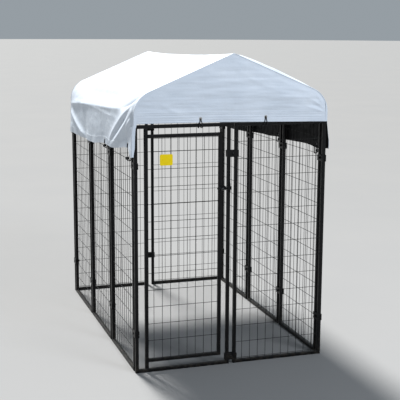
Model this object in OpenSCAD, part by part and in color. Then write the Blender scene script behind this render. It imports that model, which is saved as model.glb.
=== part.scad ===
// Outdoor dog kennel run: ten square-tube wall panels with welded wire mesh,
// a pivoting gate with a slide bolt, bolted panel clamps, a hooped roof frame
// and a tied-on roof cover. Front is -Y, +X is to the right, floor at Z = 0.

/* [Panels] */
// Height of a wall panel
panel_h = 1460; // [1450:1:1480]
// Outside size of the square tube
tube = 20; // [19:0.5:21]
// Wall thickness of the square tube
wall = 1.2; // [1:0.1:1.5]
// Gap between neighbouring panels, which the clamp bolts pass through
gap = 26; // [24:1:30]

/* [Mesh] */
// Spacing of the upright wires
pitch_x = 50.8; // [50:0.1:51.5]
// Spacing of the level wires
pitch_z = 101.6; // [101:0.1:102.5]
// Diameter of the mesh wire
wire_d = 3; // [2.6:0.1:3.4]
// Mesh columns in one wall panel
cols = 11; // [11:1:12]

/* [Gate] */
// Space between the fixed left stile and the pivot stile
hinge_gap = 40; // [36:1:44]
// Space between the latch stile and the fixed right stile
latch_gap = 32.5; // [30:0.5:36]
// Height of the underside of the gate leaf above the ground
leaf_z0 = 60; // [50:1:70]
// Height of the top of the gate leaf
leaf_z1 = 1405; // [1395:1:1410]
// Radius of the gate's pivot pins
pin_r = 6; // [5:0.5:6.5]
// Height of the slide bolt
latch_z = 1080; // [1060:1:1100]
// Travel of the slide bolt
bolt_travel = 17; // [15:1:17]

/* [Clamps] */
// Height of a clamp plate
clamp_h = 40; // [36:1:44]
// Thickness of a clamp plate
clamp_t = 3; // [2.5:0.5:3]
// Radius of the clamp bolt
bolt_r = 4; // [3.5:0.5:4.5]

/* [Roof] */
// Outside radius of the roof tube
hoop_r = 8; // [7:0.5:8]
// Bend radius of the roof tube at the shoulder
bend_r = 140; // [130:1:150]
// Slope of the roof in degrees
slope = 22.8; // [20:0.1:25]
// Height where the shoulder bend starts
bend_z = 1507; // [1500:1:1515]
// Thickness of the cover
cover_t = 1.5; // [1.2:0.1:2]
// Height of the lower edge of the side flaps at the front corner
side_hem = 1285; // [1275:1:1300]
// Height of the lower edge of the end flaps
end_hem = 1452; // [1448:1:1456]
// How much lower the rear of the roof sits than the front
rear_drop = 50; // [0:1:53]

/* [Hidden] */
$fn = 48;
panel_w = cols * pitch_x + tube;
run_w = 2 * panel_w + gap;
run_l = 2 * tube + 3 * panel_w + 4 * gap;
// The slide bolt and tag stand out at the front, so the walls sit a little
// behind the middle and the whole object is centred on the origin.
y_shift = 15.7;
x0 = -run_w / 2;
y0 = -run_l / 2 + y_shift;
y1 = run_l / 2 + y_shift;
wr = wire_d / 2;
woff = 0.4 * wire_d;
bore = tube - 2 * wall;
eps = 0.01;

// Level wires of a wall panel
wire_z0 = 28;
wire_n = 14;
// Clamp heights
clamp_hi = 1229;
clamp_lo = 236;
clamp_front_hi = 1280;
clamp_front_lo = 44;

// Gate
post_l = x0 + tube;                 // inner face of the fixed left stile
post_r = x0 + panel_w - tube;       // inner face of the fixed right stile
leaf_x0 = post_l + hinge_gap;
leaf_x1 = post_r - latch_gap;
hinge_x = leaf_x0 + tube / 2;
hinge_y = y0 + tube / 2;
flange_t = 3;
play = 0.3;
stile_z0 = tube + flange_t + play;
stile_z1 = panel_h - tube - flange_t - play;
bush_r = 8;
leaf_mid = (leaf_x0 + leaf_x1) / 2;

// Slide bolt
rod_r = 6;
rod_y = y0 - 12;
ring_r0 = leaf_x1 + 13;             // right guide, left end
ring_l0 = ring_r0 - 33;             // left guide, left end
ring_len = 7;
keep_x0 = post_r - 3;
rod_tip = keep_x0 - 3;
knob_x = ring_l0 + ring_len + 1 + 3.5;

// Roof
leg_x = run_w / 2 - tube / 2;
turn = 90 - slope;
slope_x0 = leg_x - bend_r + bend_r * cos(turn);
slope_z0 = bend_z + bend_r * sin(turn);
apex_z = slope_z0 + slope_x0 * tan(slope);
slope_len = slope_x0 / cos(slope);
leg_z0 = panel_h - 60;
tube_t = 1.2;
sleeve_r = hoop_r + 2;
sleeve_len = 60;
ridge_drop = 14;
ridge_z = apex_z - ridge_drop;
cov_in = tube / 2 + 0.8;
cov_out = cov_in + cover_t;
end_gap = 1.5;
front_hoop_y = y0 + tube / 2;
rear_hoop_y = y1 - tube / 2;
// The rear hoop is pushed deeper into its stiles, so the roof falls to the rear
tilt = atan(rear_drop / (rear_hoop_y - front_hoop_y));
function drop(y) = (y - front_hoop_y) * tan(tilt);
screw_r = 2.4;

// Ties of the cover
tie_x = [-200, 200];
// one side tie to each of the two front panels, midway between upright wires
tie_y = [for (i = [0 : 1]) tube + gap + i * (panel_w + gap) + tube / 2 + 1.5 * pitch_x];
cord_r = 2.5;
end_eye_z = panel_h + 29;
// The left flap's lower edge is drawn up at its front tie; both hang lower behind
side_eye = [[1343, 1297], [1300, 1297]];
eye_margin = 25;
function side_eye_z(s, i) = side_eye[s < 0 ? 0 : 1][i];
// behind, it passes just over the clamps of the two rear joints
over_clamp = clamp_hi + clamp_h / 2 + 5;
joint_y = [for (i = [2, 3]) tube + gap / 2 + i * (panel_w + gap)];
hem_y = [-end_gap - cover_t, tie_y[0], tie_y[1], joint_y[0] - 45, joint_y[0] + 45, joint_y[0] + 99,
         joint_y[1] - 90, joint_y[1] - 45, run_l + end_gap + cover_t];
function hem_z(s) = [side_hem, side_eye_z(s, 0) - eye_margin, side_eye_z(s, 1) - eye_margin, over_clamp,
                     over_clamp, 1233, 1230, over_clamp, over_clamp];
side_wire_z = wire_z0 + 12 * pitch_z;
eye_r = 5;
end_out = end_gap + cover_t + cord_r + 1.5;
side_out = 0.8 + cover_t + cord_r + 1.5;

frame_col = [0.07, 0.07, 0.075];
mesh_col = [0.10, 0.10, 0.11];
cover_col = [0.78, 0.81, 0.85];
zinc_col = [0.62, 0.63, 0.64];

// ---------------------------------------------------------------- shared shapes

// Welded frame of hollow square tube, outer face on y = 0
module tube_frame(w, h) {
  difference() {
    union() {
      cube([tube, tube, h]);
      translate([w - tube, 0, 0]) cube([tube, tube, h]);
      cube([w, tube, tube]);
      translate([0, 0, h - tube]) cube([w, tube, tube]);
    }
    for (x = [wall, w - tube + wall])
      translate([x, wall, -1]) cube([bore, bore, h + 2]);
    for (z = [wall, h - tube + wall])
      translate([tube / 2, wall, z]) cube([w - tube, bore, bore]);
  }
}

module upright_wire(x, z_a, z_b) {
  translate([x, tube / 2 + woff, z_a]) cylinder(r = wr, h = z_b - z_a, $fn = 8);
}

module level_wire(z, x_a, x_b) {
  translate([x_a, tube / 2 - woff, z]) rotate([0, 90, 0])
    cylinder(r = wr, h = x_b - x_a, $fn = 8);
}

// Welded mesh that fills a wall panel
module panel_mesh() {
  union() {
    for (i = [1 : cols - 1])
      upright_wire(tube / 2 + i * pitch_x, tube, panel_h - tube);
    for (k = [0 : wire_n - 1])
      level_wire(wire_z0 + k * pitch_z, tube, panel_w - tube);
  }
}

// Puts a panel, outer face on y = 0 and x from 0, into each wall
module at_front(i) { translate([x0 + i * (panel_w + gap), y0, 0]) children(); }
module at_rear(i) {
  translate([x0 + (i + 1) * panel_w + i * gap, y1, 0]) rotate([0, 0, 180]) children();
}
module at_left(i) {
  translate([x0, y0 + tube + gap + (i + 1) * panel_w + i * gap, 0])
    rotate([0, 0, -90]) children();
}
module at_right(i) {
  translate([-x0, y0 + tube + gap + i * (panel_w + gap), 0])
    rotate([0, 0, 90]) children();
}

// Places a clamp: local x runs along the pair of stiles, local y = 0 is the
// outer face of the stiles and the clamp is centred on the gap
module at_side_clamps(z, joints) {
  for (i = joints) {
    yc = y0 + tube + gap / 2 + i * (panel_w + gap);
    translate([x0, yc, z]) rotate([0, 0, -90]) children();
    translate([-x0, yc, z]) rotate([0, 0, 90]) children();
  }
}
module at_corner_clamps(z) { at_side_clamps(z, [0, 3]) children(); }
module at_joint_clamps() {
  for (z = [clamp_front_lo, clamp_front_hi])
    translate([0, y0, z]) children();
  for (z = [clamp_lo, clamp_hi]) {
    translate([0, y1, z]) rotate([0, 0, 180]) children();
    at_side_clamps(z, [1, 2]) children();
  }
}
module at_clamps() {
  at_joint_clamps() children();
  for (z = [clamp_lo, clamp_hi]) at_corner_clamps(z) children();
}

clamp_w = gap + 2 * tube + 0.4;
// Level wire that is closest to a height
function near_wire(z) = wire_z0 + pitch_z * round((z - wire_z0) / pitch_z);
// Slots that let a level wire pass through a plate in a corner
module wire_slots(z) {
  x = gap / 2 + tube / 2 - woff + wr + 1 - 6;
  for (s = [-1, 1])
    translate([s > 0 ? x : -clamp_w, -clamp_t - 1, z - wr - 1])
      cube([clamp_w - x, clamp_t + 10, 2 * wr + 2]);
}
// Channel plate that hugs two stiles from one side
module clamp_plate() {
  lip = 5.5;
  difference() {
    union() {
      translate([-clamp_w / 2 - clamp_t, -clamp_t, -clamp_h / 2])
        cube([clamp_w + 2 * clamp_t, clamp_t, clamp_h]);
      for (s = [-1, 1])
        translate([s > 0 ? clamp_w / 2 : -clamp_w / 2 - clamp_t, -clamp_t, -clamp_h / 2])
          cube([clamp_t, clamp_t + lip, clamp_h]);
      // pressed rib between the stiles
      translate([-gap / 2 + 2, -clamp_t, -clamp_h / 2])
        cube([gap - 4, clamp_t + 4, clamp_h]);
    }
    rotate([-90, 0, 0]) translate([0, 0, -clamp_t - 1])
      cylinder(r = bolt_r + 0.2, h = clamp_t + 7);
  }
}

// Round-headed bolt through the clamp
module clamp_bolt() {
  rotate([-90, 0, 0]) {
    translate([0, 0, -clamp_t - 4.2]) difference() {
      translate([0, 0, 11.74]) sphere(r = 11.74);
      translate([-20, -20, 4.2]) cube([40, 40, 40]);
    }
    translate([0, 0, -clamp_t - eps]) cylinder(r = bolt_r, h = tube + 2 * clamp_t + 9);
  }
}

module clamp_nut() {
  translate([0, tube + clamp_t, 0]) rotate([-90, 0, 0]) difference() {
    union() {
      cylinder(r = 9, h = 1.2);
      translate([0, 0, 1.2]) cylinder(r = 7.5, h = 5.5, $fn = 6);
    }
    translate([0, 0, -1]) cylinder(r = bolt_r + 0.05, h = 10);
  }
}

// ---------------------------------------------------------------- wall panels

module gate_surround() {
  color(frame_col) difference() {
    at_front(0) tube_frame(panel_w, panel_h);
    translate([hinge_x, hinge_y, tube - wall - 1]) cylinder(r = bush_r + 0.05, h = wall + 2);
    translate([hinge_x, hinge_y, panel_h - tube - 1]) cylinder(r = bush_r + 0.05, h = wall + 2);
    leg_screw_hole(-1, y0);
  }
}
module front_panel_frame() {
  color(frame_col) difference() {
    at_front(1) tube_frame(panel_w, panel_h);
    leg_screw_hole(1, y0);
  }
}
module left_panel_frame_front() { color(frame_col) at_left(0) tube_frame(panel_w, panel_h); }
module left_panel_frame_middle() { color(frame_col) at_left(1) tube_frame(panel_w, panel_h); }
module left_panel_frame_rear() { color(frame_col) at_left(2) tube_frame(panel_w, panel_h); }
module right_panel_frame_front() { color(frame_col) at_right(0) tube_frame(panel_w, panel_h); }
module right_panel_frame_middle() { color(frame_col) at_right(1) tube_frame(panel_w, panel_h); }
module right_panel_frame_rear() { color(frame_col) at_right(2) tube_frame(panel_w, panel_h); }
module rear_panel_frame_left() {
  color(frame_col) difference() {
    at_rear(0) tube_frame(panel_w, panel_h);
    leg_screw_hole(-1, y1 - tube);
  }
}
module rear_panel_frame_right() {
  color(frame_col) difference() {
    at_rear(1) tube_frame(panel_w, panel_h);
    leg_screw_hole(1, y1 - tube);
  }
}

module front_panel_mesh() { color(mesh_col) at_front(1) panel_mesh(); }
module left_panel_mesh_front() { color(mesh_col) at_left(0) panel_mesh(); }
module left_panel_mesh_middle() { color(mesh_col) at_left(1) panel_mesh(); }
module left_panel_mesh_rear() { color(mesh_col) at_left(2) panel_mesh(); }
module right_panel_mesh_front() { color(mesh_col) at_right(0) panel_mesh(); }
module right_panel_mesh_middle() { color(mesh_col) at_right(1) panel_mesh(); }
module right_panel_mesh_rear() { color(mesh_col) at_right(2) panel_mesh(); }
module rear_panel_mesh_left() { color(mesh_col) at_rear(0) panel_mesh(); }
module rear_panel_mesh_right() { color(mesh_col) at_rear(1) panel_mesh(); }

// ---------------------------------------------------------------- gate leaf

module gate_leaf_frame() {
  lw = leaf_x1 - leaf_x0;
  color(frame_col) translate([leaf_x0, y0, 0]) difference() {
    union() {
      translate([0, 0, stile_z0]) cube([tube, tube, stile_z1 - stile_z0]);
      translate([lw - tube, 0, leaf_z0]) cube([tube, tube, leaf_z1 - leaf_z0]);
      translate([0, 0, leaf_z0]) cube([lw, tube, tube]);
      translate([0, 0, leaf_z1 - tube]) cube([lw, tube, tube]);
    }
    translate([wall, wall, stile_z0 - 1]) cube([bore, bore, stile_z1 - stile_z0 + 2]);
    translate([lw - tube + wall, wall, leaf_z0 - 1]) cube([bore, bore, leaf_z1 - leaf_z0 + 2]);
    for (z = [leaf_z0 + wall, leaf_z1 - tube + wall])
      translate([tube / 2, wall, z]) cube([lw - tube, bore, bore]);
  }
}

module gate_leaf_mesh() {
  lw = leaf_x1 - leaf_x0;
  color(mesh_col) translate([leaf_x0, y0, 0]) union() {
    for (i = [-3.5 : 1 : 3.5])
      upright_wire(lw / 2 + i * pitch_x, leaf_z0 + tube, leaf_z1 - tube);
    for (k = [0 : 11])
      level_wire(1308 - k * pitch_z, tube, lw - tube);
  }
}

// Square plug in the pivot stile with a round pin on its end
module pivot_pin() {
  plug = bore - 0.2;
  union() {
    translate([-plug / 2, -plug / 2, -34]) cube([plug, plug, 34]);
    translate([0, 0, -1]) cylinder(r = pin_r, h = 1 + flange_t + play + 13);
  }
}
module gate_pivot_pin_upper() {
  color(zinc_col) translate([hinge_x, hinge_y, stile_z1]) pivot_pin();
}
module gate_pivot_pin_lower() {
  color(zinc_col) translate([hinge_x, hinge_y, stile_z0]) rotate([180, 0, 0]) pivot_pin();
}

// Flanged sleeve that carries a pivot pin, flange on z = 0 and below
module pivot_bush() {
  difference() {
    union() {
      translate([0, 0, -flange_t]) cylinder(r = tube / 2 - 0.3, h = flange_t);
      translate([0, 0, -1]) cylinder(r = bush_r, h = 17);
    }
    translate([0, 0, -flange_t - 1]) cylinder(r = pin_r + 0.06, h = 22);
  }
}
module gate_bush_upper() {
  color([0.12, 0.12, 0.12]) translate([hinge_x, hinge_y, panel_h - tube]) pivot_bush();
}
module gate_bush_lower() {
  color([0.12, 0.12, 0.12]) translate([hinge_x, hinge_y, tube]) rotate([180, 0, 0]) pivot_bush();
}

// ---------------------------------------------------------------- slide bolt

module along_x(x, y, z) { translate([x, y, z]) rotate([0, 90, 0]) children(); }
module along_y(x, y, z) { translate([x, y, z]) rotate([-90, 0, 0]) children(); }

plate_z0 = latch_z - 54;
plate_z1 = latch_z + 20;
latch_screw_z = [latch_z - 24, latch_z - 44];
keeper_screw_z = [latch_z - 18, latch_z + 18];
module latch_plate() {
  color(frame_col) difference() {
    union() {
      translate([leaf_x1 - tube, y0 - 3, plate_z0]) cube([tube, 3, plate_z1 - plate_z0]);
      translate([ring_l0, y0 - 3, latch_z - 12]) cube([ring_r0 + ring_len - ring_l0, 3, 24]);
      for (x = [ring_l0, ring_r0]) {
        along_x(x, rod_y, latch_z) cylinder(r = 9.5, h = ring_len);
        translate([x, rod_y, latch_z - 9.5]) cube([ring_len, 10, 19]);
      }
    }
    along_x(ring_l0 - 5, rod_y, latch_z) cylinder(r = rod_r + 0.06, h = 70);
    for (z = latch_screw_z)
      along_y(leaf_x1 - tube / 2, y0 - 5, z) cylinder(r = screw_r + 0.2, h = 8);
  }
}
// Pan-head screw, head on y = 0 and out towards -y
module pan_screw(len) {
  rotate([-90, 0, 0]) {
    translate([0, 0, -2.2]) cylinder(r = 4.4, h = 2.2);
    translate([0, 0, -eps]) cylinder(r = screw_r, h = len);
  }
}
module latch_plate_screws() {
  color(frame_col) for (z = latch_screw_z)
    translate([leaf_x1 - tube / 2, y0 - 3, z]) pan_screw(2.9);
}
module latch_rod() {
  color(frame_col) union() {
    along_x(ring_l0 + 5 - bolt_travel, rod_y, latch_z)
      cylinder(r = rod_r, h = rod_tip - 7 - ring_l0 + bolt_travel);
    along_x(rod_tip - 2, rod_y, latch_z) cylinder(r1 = rod_r, r2 = rod_r - 2, h = 2);
    along_y(knob_x, rod_y - 19, latch_z) cylinder(r = 3.5, h = 19);
  }
}
module latch_knob() {
  color([0.05, 0.05, 0.05]) translate([knob_x, rod_y - 20, latch_z]) rotate([-90, 0, 0])
    rotate_extrude() difference() {
      intersection() {
        circle(r = 9, $fn = 64);
        translate([0, -8.6]) square([10, 17.2]);
      }
      translate([0, 1]) square([3.55, 20]);
    }
}
// Bent strap on the fixed stile that the bolt slides into
module latch_keeper() {
  slot = rod_r + 0.8;
  out = y0 - rod_y + slot + 3;
  color(frame_col) difference() {
    union() {
      translate([post_r, y0 - 3, latch_z - 26]) cube([tube, 3, 52]);
      translate([keep_x0, y0 - out, latch_z - slot - 3]) cube([tube + 3, out, 2 * slot + 6]);
    }
    translate([keep_x0 - 5, y0 - out + 3, latch_z - slot]) cube([tube + 13, out - 6, 2 * slot]);
    // leaves only the strap beside the stile
    translate([keep_x0 - 5, y0 - 3, latch_z - 20]) cube([post_r - keep_x0 + 5, 10, 40]);
    for (z = keeper_screw_z)
      along_y(post_r + tube / 2, y0 - 5, z) cylinder(r = screw_r + 0.2, h = 8);
  }
}
module latch_keeper_screws() {
  color(frame_col) for (z = keeper_screw_z)
    translate([post_r + tube / 2, y0 - 3, z]) pan_screw(2.9);
}

// ---------------------------------------------------------------- blank tag

tag_x0 = leaf_mid - 2.5 * pitch_x - 14;
tag_x1 = tag_x0 + 76;
tag_z0 = 1226;
tag_z1 = 1290;
tag_pins = [leaf_mid - 2.5 * pitch_x + 5, leaf_mid - 1.5 * pitch_x - 5];
tag_col = [0.86, 0.70, 0.10];
module blank_tag() {
  r = 8;
  color(tag_col) difference() {
    translate([0, y0 + 5.6, 0]) rotate([90, 0, 0]) linear_extrude(height = 1.6) union() {
      translate([tag_x0 + r, tag_z0]) square([tag_x1 - tag_x0 - 2 * r, tag_z1 - tag_z0]);
      translate([tag_x0, tag_z0 + r]) square([tag_x1 - tag_x0, tag_z1 - tag_z0 - 2 * r]);
      for (x = [tag_x0 + r, tag_x1 - r], z = [tag_z0 + r, tag_z1 - r])
        translate([x, z]) circle(r = r);
    }
    for (x = tag_pins)
      along_y(x, y0, (tag_z0 + tag_z1) / 2) cylinder(r = 2.2, h = 10);
  }
}
module tag_rivets() {
  color(tag_col) for (x = tag_pins) along_y(x, y0, (tag_z0 + tag_z1) / 2) {
    translate([0, 0, 2.9]) cylinder(r = 4, h = 1.1);
    translate([0, 0, 3]) cylinder(r = 2, h = 11.2);
    translate([0, 0, 13]) cylinder(r = 9, h = 1.2);
  }
}

// ---------------------------------------------------------------- clamps

module clamp_plates_outer() { color(frame_col) at_clamps() clamp_plate(); }
module clamp_plates_inner() {
  color(frame_col) {
    at_joint_clamps() translate([0, tube, 0]) rotate([0, 0, 180]) clamp_plate();
    for (z = [clamp_lo, clamp_hi]) at_corner_clamps(z) translate([0, tube, 0]) rotate([0, 0, 180])
      difference() {
        clamp_plate();
        wire_slots(near_wire(z) - z);
      }
  }
}
module clamp_bolts() { color(frame_col) at_clamps() clamp_bolt(); }
module clamp_nuts() { color(frame_col) at_clamps() clamp_nut(); }

// ---------------------------------------------------------------- stile caps

module stile_cap() {
  plug = bore - 0.2;
  union() {
    translate([-tube / 2, -tube / 2, 0]) cube([tube, tube, 2]);
    translate([-plug / 2, -plug / 2, -12]) cube([plug, plug, 13]);
  }
}
module stile_caps() {
  color([0.06, 0.06, 0.06]) {
    for (y = [y0 + tube / 2, y1 - tube / 2], x = [-gap / 2 - tube / 2, gap / 2 + tube / 2])
      translate([x, y, panel_h]) stile_cap();
    for (x = [-leg_x, leg_x], i = [0 : 2], s = [0, 1])
      translate([x, y0 + tube + gap + i * (panel_w + gap) + (s > 0 ? panel_w - tube / 2 : tube / 2), panel_h])
        stile_cap();
  }
}

// ---------------------------------------------------------------- roof frame

// One bent roof tube in the XZ plane: leg, shoulder bend and rafter
module hoop_solid() {
  translate([leg_x, 0, leg_z0]) pipe(bend_z - leg_z0);
  translate([leg_x - bend_r, 0, bend_z]) rotate([90, 0, 0])
    rotate_extrude(angle = turn) translate([bend_r, 0]) difference() {
      circle(r = hoop_r);
      circle(r = hoop_r - tube_t);
    }
  translate([slope_x0, 0, slope_z0]) rotate([0, -turn, 0]) {
    // crimped joint between the bend and the rafter
    translate([0, 0, -3]) cylinder(r = hoop_r + 0.6, h = 6);
    translate([0, 0, 1]) pipe(slope_len - 17);
  }
}
module pipe(len) {
  difference() {
    cylinder(r = hoop_r, h = len);
    translate([0, 0, -1]) cylinder(r = hoop_r - tube_t, h = len + 2);
  }
}
module hoop_half(side, y) {
  inner_y = y < 0 ? 1 : -1;
  color([0.45, 0.46, 0.47]) translate([0, y, -drop(y)]) mirror([side < 0 ? 1 : 0, 0, 0]) difference() {
    union() { hoop_solid(); }
    translate([leg_x, 0, panel_h - 30 + drop(y)]) rotate([inner_y > 0 ? -90 : 90, 0, 0])
      cylinder(r = screw_r + 0.2, h = 30);
    translate([0, 0, apex_z]) rotate([0, 180 - turn, 0])
      translate([0, 0, 38]) rotate([0, 90, 0]) cylinder(r = screw_r + 0.2, h = 20);
  }
}
module roof_hoop_front_left() { hoop_half(-1, front_hoop_y); }
module roof_hoop_front_right() { hoop_half(1, front_hoop_y); }
module roof_hoop_rear_left() { hoop_half(-1, rear_hoop_y); }
module roof_hoop_rear_right() { hoop_half(1, rear_hoop_y); }

// Hole through the inner wall of a corner stile for the screw that holds the leg
module leg_screw_hole(side, y) {
  s = y < 0 ? 1 : -1;
  translate([side * leg_x, y + tube / 2, panel_h - 30]) rotate([s > 0 ? -90 : 90, 0, 0])
    translate([0, 0, tube / 2 - 3]) cylinder(r = screw_r + 0.2, h = 6);
}
module hoop_leg_screws() {
  color(zinc_col) for (side = [-1, 1]) {
    translate([side * leg_x, y0 + tube, panel_h - 30]) rotate([0, 0, 180]) pan_screw(6);
    translate([side * leg_x, y1 - tube, panel_h - 30]) pan_screw(6);
  }
}

// Sleeve that joins two rafters and the ridge pole; the pole runs towards +y
// and rises by the angle given
module ridge_connector(rise) {
  color([0.12, 0.12, 0.12]) difference() {
    union() {
      for (m = [0, 1]) mirror([m, 0, 0])
        translate([0, 0, apex_z]) rotate([0, 180 - turn, 0]) cylinder(r = sleeve_r, h = sleeve_len);
      translate([0, 0, ridge_z]) rotate([rise - 90, 0, 0])
        translate([0, 0, 2 - sleeve_r]) cylinder(r = sleeve_r - 0.6, h = 72);
    }
    for (m = [0, 1]) mirror([m, 0, 0])
      translate([0, 0, apex_z]) rotate([0, 180 - turn, 0])
        translate([0, 0, 14]) cylinder(r = hoop_r + 0.1, h = sleeve_len);
    for (m = [0, 1]) mirror([m, 0, 0])
      translate([0, 0, apex_z]) rotate([0, 180 - turn, 0]) translate([0, 0, 38])
        rotate([0, 90, 0]) cylinder(r = screw_r + 0.2, h = 20);
    translate([0, 0, ridge_z]) rotate([rise - 90, 0, 0]) {
      translate([0, 0, 14]) cylinder(r = hoop_r + 0.1, h = 80);
      translate([0, 0, 44]) rotate([-90, 0, 0]) cylinder(r = screw_r + 0.2, h = 20);
    }
  }
}
module ridge_connector_front() {
  translate([0, front_hoop_y, -drop(front_hoop_y)]) ridge_connector(-tilt);
}
module ridge_connector_rear() {
  translate([0, rear_hoop_y, -drop(rear_hoop_y)]) mirror([0, 1, 0]) ridge_connector(tilt);
}
module ridge_pole() {
  len = (rear_hoop_y - front_hoop_y) / cos(tilt) - 32;
  color([0.45, 0.46, 0.47]) translate([0, front_hoop_y, ridge_z]) rotate([-90 - tilt, 0, 0])
    translate([0, 0, 16]) difference() {
      cylinder(r = hoop_r, h = len);
      translate([0, 0, -1]) cylinder(r = hoop_r - tube_t, h = len + 2);
      for (y = [28, len - 28]) translate([0, 0, y]) rotate([-90, 0, 0])
        cylinder(r = screw_r + 0.2, h = 20);
    }
}
// Screw that comes up from below, head under z = 0
module up_screw(r_out) {
  translate([0, 0, -r_out - 2.2]) cylinder(r = 4.4, h = 2.2);
  translate([0, 0, -r_out - eps]) cylinder(r = screw_r, h = 6);
}
module roof_tube_screws() {
  color(zinc_col) for (y = [front_hoop_y, rear_hoop_y]) {
    for (m = [0, 1]) mirror([m, 0, 0])
      translate([0, y, apex_z - drop(y)]) rotate([0, 180 - turn, 0]) translate([0, 0, 38])
        rotate([0, -90, 0]) up_screw(sleeve_r + 0.4);
    translate([0, y, ridge_z - drop(y)]) rotate([-tilt, 0, 0])
      translate([0, y < 0 ? 44 : -44, 0]) up_screw(sleeve_r - 0.2);
  }
}

// ---------------------------------------------------------------- cover

// Section of the roof cover at distance d outside the roof tube's middle line
function half_section(d, z_low) = concat(
  [[leg_x + d, z_low]],
  [for (k = [0 : 6]) [leg_x - bend_r + (bend_r + d) * cos(turn * k / 6),
                      bend_z + (bend_r + d) * sin(turn * k / 6)]],
  [[0, apex_z + d / cos(slope)]]);
function mirrored(pts) = [for (k = [len(pts) - 2 : -1 : 0]) [-pts[k][0], pts[k][1]]];
module section(d, z_low) {
  h = half_section(d, z_low);
  polygon(concat(h, mirrored(h)));
}
module end_eyes(y) {
  for (x = tie_x) along_y(x, y - 10, end_eye_z) cylinder(r = eye_r + 2, h = 20);
}
// Shell of both slopes and both side flaps, falling to the rear with the roof.
// One ring of points at each station along the run: outer row, then inner row.
module cover_shell() {
  o = half_section(cov_out, side_hem);
  i = half_section(cov_in, side_hem);
  line = [concat(o, mirrored(o)), concat(i, mirrored(i))];
  n = len(line[0]);
  last = len(hem_y) - 1;
  function at(q, k, j) =
    [q[0], y0 + hem_y[j], k == 0 ? hem_z(1)[j] : k == n - 1 ? hem_z(-1)[j] : q[1] - drop(y0 + hem_y[j])];
  pts = [for (j = [0 : last], l = line, k = [0 : n - 1]) at(l[k], k, j)];
  function so(j, k) = 2 * n * j + k;
  function si(j, k) = 2 * n * j + n + k;
  polyhedron(pts, concat(
    [for (j = [0 : last - 1], k = [0 : n - 2]) [so(j, k), so(j, k + 1), so(j + 1, k + 1), so(j + 1, k)]],
    [for (j = [0 : last - 1], k = [0 : n - 2]) [si(j, k), si(j + 1, k), si(j + 1, k + 1), si(j, k + 1)]],
    [for (k = [0 : n - 2]) [so(0, k + 1), so(0, k), si(0, k), si(0, k + 1)]],
    [for (k = [0 : n - 2]) [so(last, k), so(last, k + 1), si(last, k + 1), si(last, k)]],
    [for (j = [0 : last - 1]) [so(j, 0), so(j + 1, 0), si(j + 1, 0), si(j, 0)]],
    [for (j = [0 : last - 1]) [so(j + 1, n - 1), so(j, n - 1), si(j, n - 1), si(j + 1, n - 1)]]));
}
module cover_roof() {
  color(cover_col) difference() {
    cover_shell();
    for (s = [-1, 1], i = [0, 1])
      along_x(s * (leg_x + cov_in) - 10, y0 + tie_y[i], side_eye_z(s, i)) cylinder(r = eye_r + 2, h = 20);
  }
}
module cover_end(y) {
  color(cover_col) difference() {
    translate([0, y + cover_t, -drop(y)]) rotate([90, 0, 0]) linear_extrude(height = cover_t)
      section(cov_in - 0.06, end_hem + drop(y));
    end_eyes(y);
  }
}
module cover_end_front() { cover_end(y0 - end_gap - cover_t); }
module cover_end_rear() { cover_end(y1 + end_gap); }

// Eyelet around z, outside towards +z, its middle plane in the cover
module eyelet() {
  difference() {
    union() {
      translate([0, 0, -cover_t / 2 - 0.3]) cylinder(r = eye_r + 1.9, h = cover_t + 1);
      translate([0, 0, cover_t / 2 + 0.1]) cylinder(r = eye_r + 5, h = 0.8);
    }
    translate([0, 0, -5]) cylinder(r = eye_r, h = 10);
  }
}
module cover_eyelets() {
  color(zinc_col) {
    for (x = tie_x) {
      translate([x, y0 - end_gap - cover_t / 2, end_eye_z]) rotate([90, 0, 0]) eyelet();
      translate([x, y1 + end_gap + cover_t / 2, end_eye_z]) rotate([-90, 0, 0]) eyelet();
    }
    for (s = [-1, 1], i = [0, 1])
      translate([s * (leg_x + cov_in + cover_t / 2), y0 + tie_y[i], side_eye_z(s, i)]) rotate([0, s * 90, 0]) eyelet();
  }
}

// Elastic loop in the local XZ plane with round corners: x from xa to xb
module cord_loop(xa, xb, za, zb, r) {
  for (x = [xa, xb]) translate([x, 0, za + r]) cylinder(r = cord_r, h = zb - za - 2 * r);
  for (z = [za, zb]) along_x(xa + r, 0, z) cylinder(r = cord_r, h = xb - xa - 2 * r);
  for (q = [[xa + r, za + r, 180], [xb - r, za + r, 270], [xb - r, zb - r, 0], [xa + r, zb - r, 90]])
    translate([q[0], 0, q[1]]) rotate([90, 0, 0]) rotate([0, 0, q[2]])
      rotate_extrude(angle = 90) translate([r, 0]) circle(r = cord_r, $fn = 24);
}
end_in = tube + cord_r + 1.5;
side_in = tube / 2 - woff + wr + cord_r + 0.6;
module at_end_ties() {
  for (x = tie_x) {
    translate([x, y0, 0]) rotate([0, 0, 90]) children();
    translate([x, y1, 0]) rotate([0, 0, -90]) children();
  }
}
module at_side_tie(s, i) {
  translate([-s * x0, y0 + tie_y[i], 0]) rotate([0, 0, s < 0 ? 0 : 180]) children();
}
module cover_tie_cords() {
  color([0.03, 0.03, 0.03]) {
    at_end_ties() cord_loop(-end_out, end_in, panel_h - tube - cord_r - 1.5, end_eye_z, 7);
    for (s = [-1, 1], i = [0, 1]) at_side_tie(s, i)
      cord_loop(-side_out, side_in, side_wire_z - wr - cord_r - 0.6, side_eye_z(s, i), 4);
  }
}
module tie_ball(x, z) {
  difference() {
    translate([x, 0, z]) sphere(r = 11);
    translate([x, 0, z - 20]) cylinder(r = cord_r + 0.1, h = 40);
  }
}
module cover_tie_balls() {
  color([0.03, 0.03, 0.03]) {
    at_end_ties() tie_ball(end_in, panel_h + 11.2);
    for (s = [-1, 1], i = [0, 1]) at_side_tie(s, i) tie_ball(-side_out, side_wire_z + 11);
  }
}

// ---------------------------------------------------------------- assembly

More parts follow.
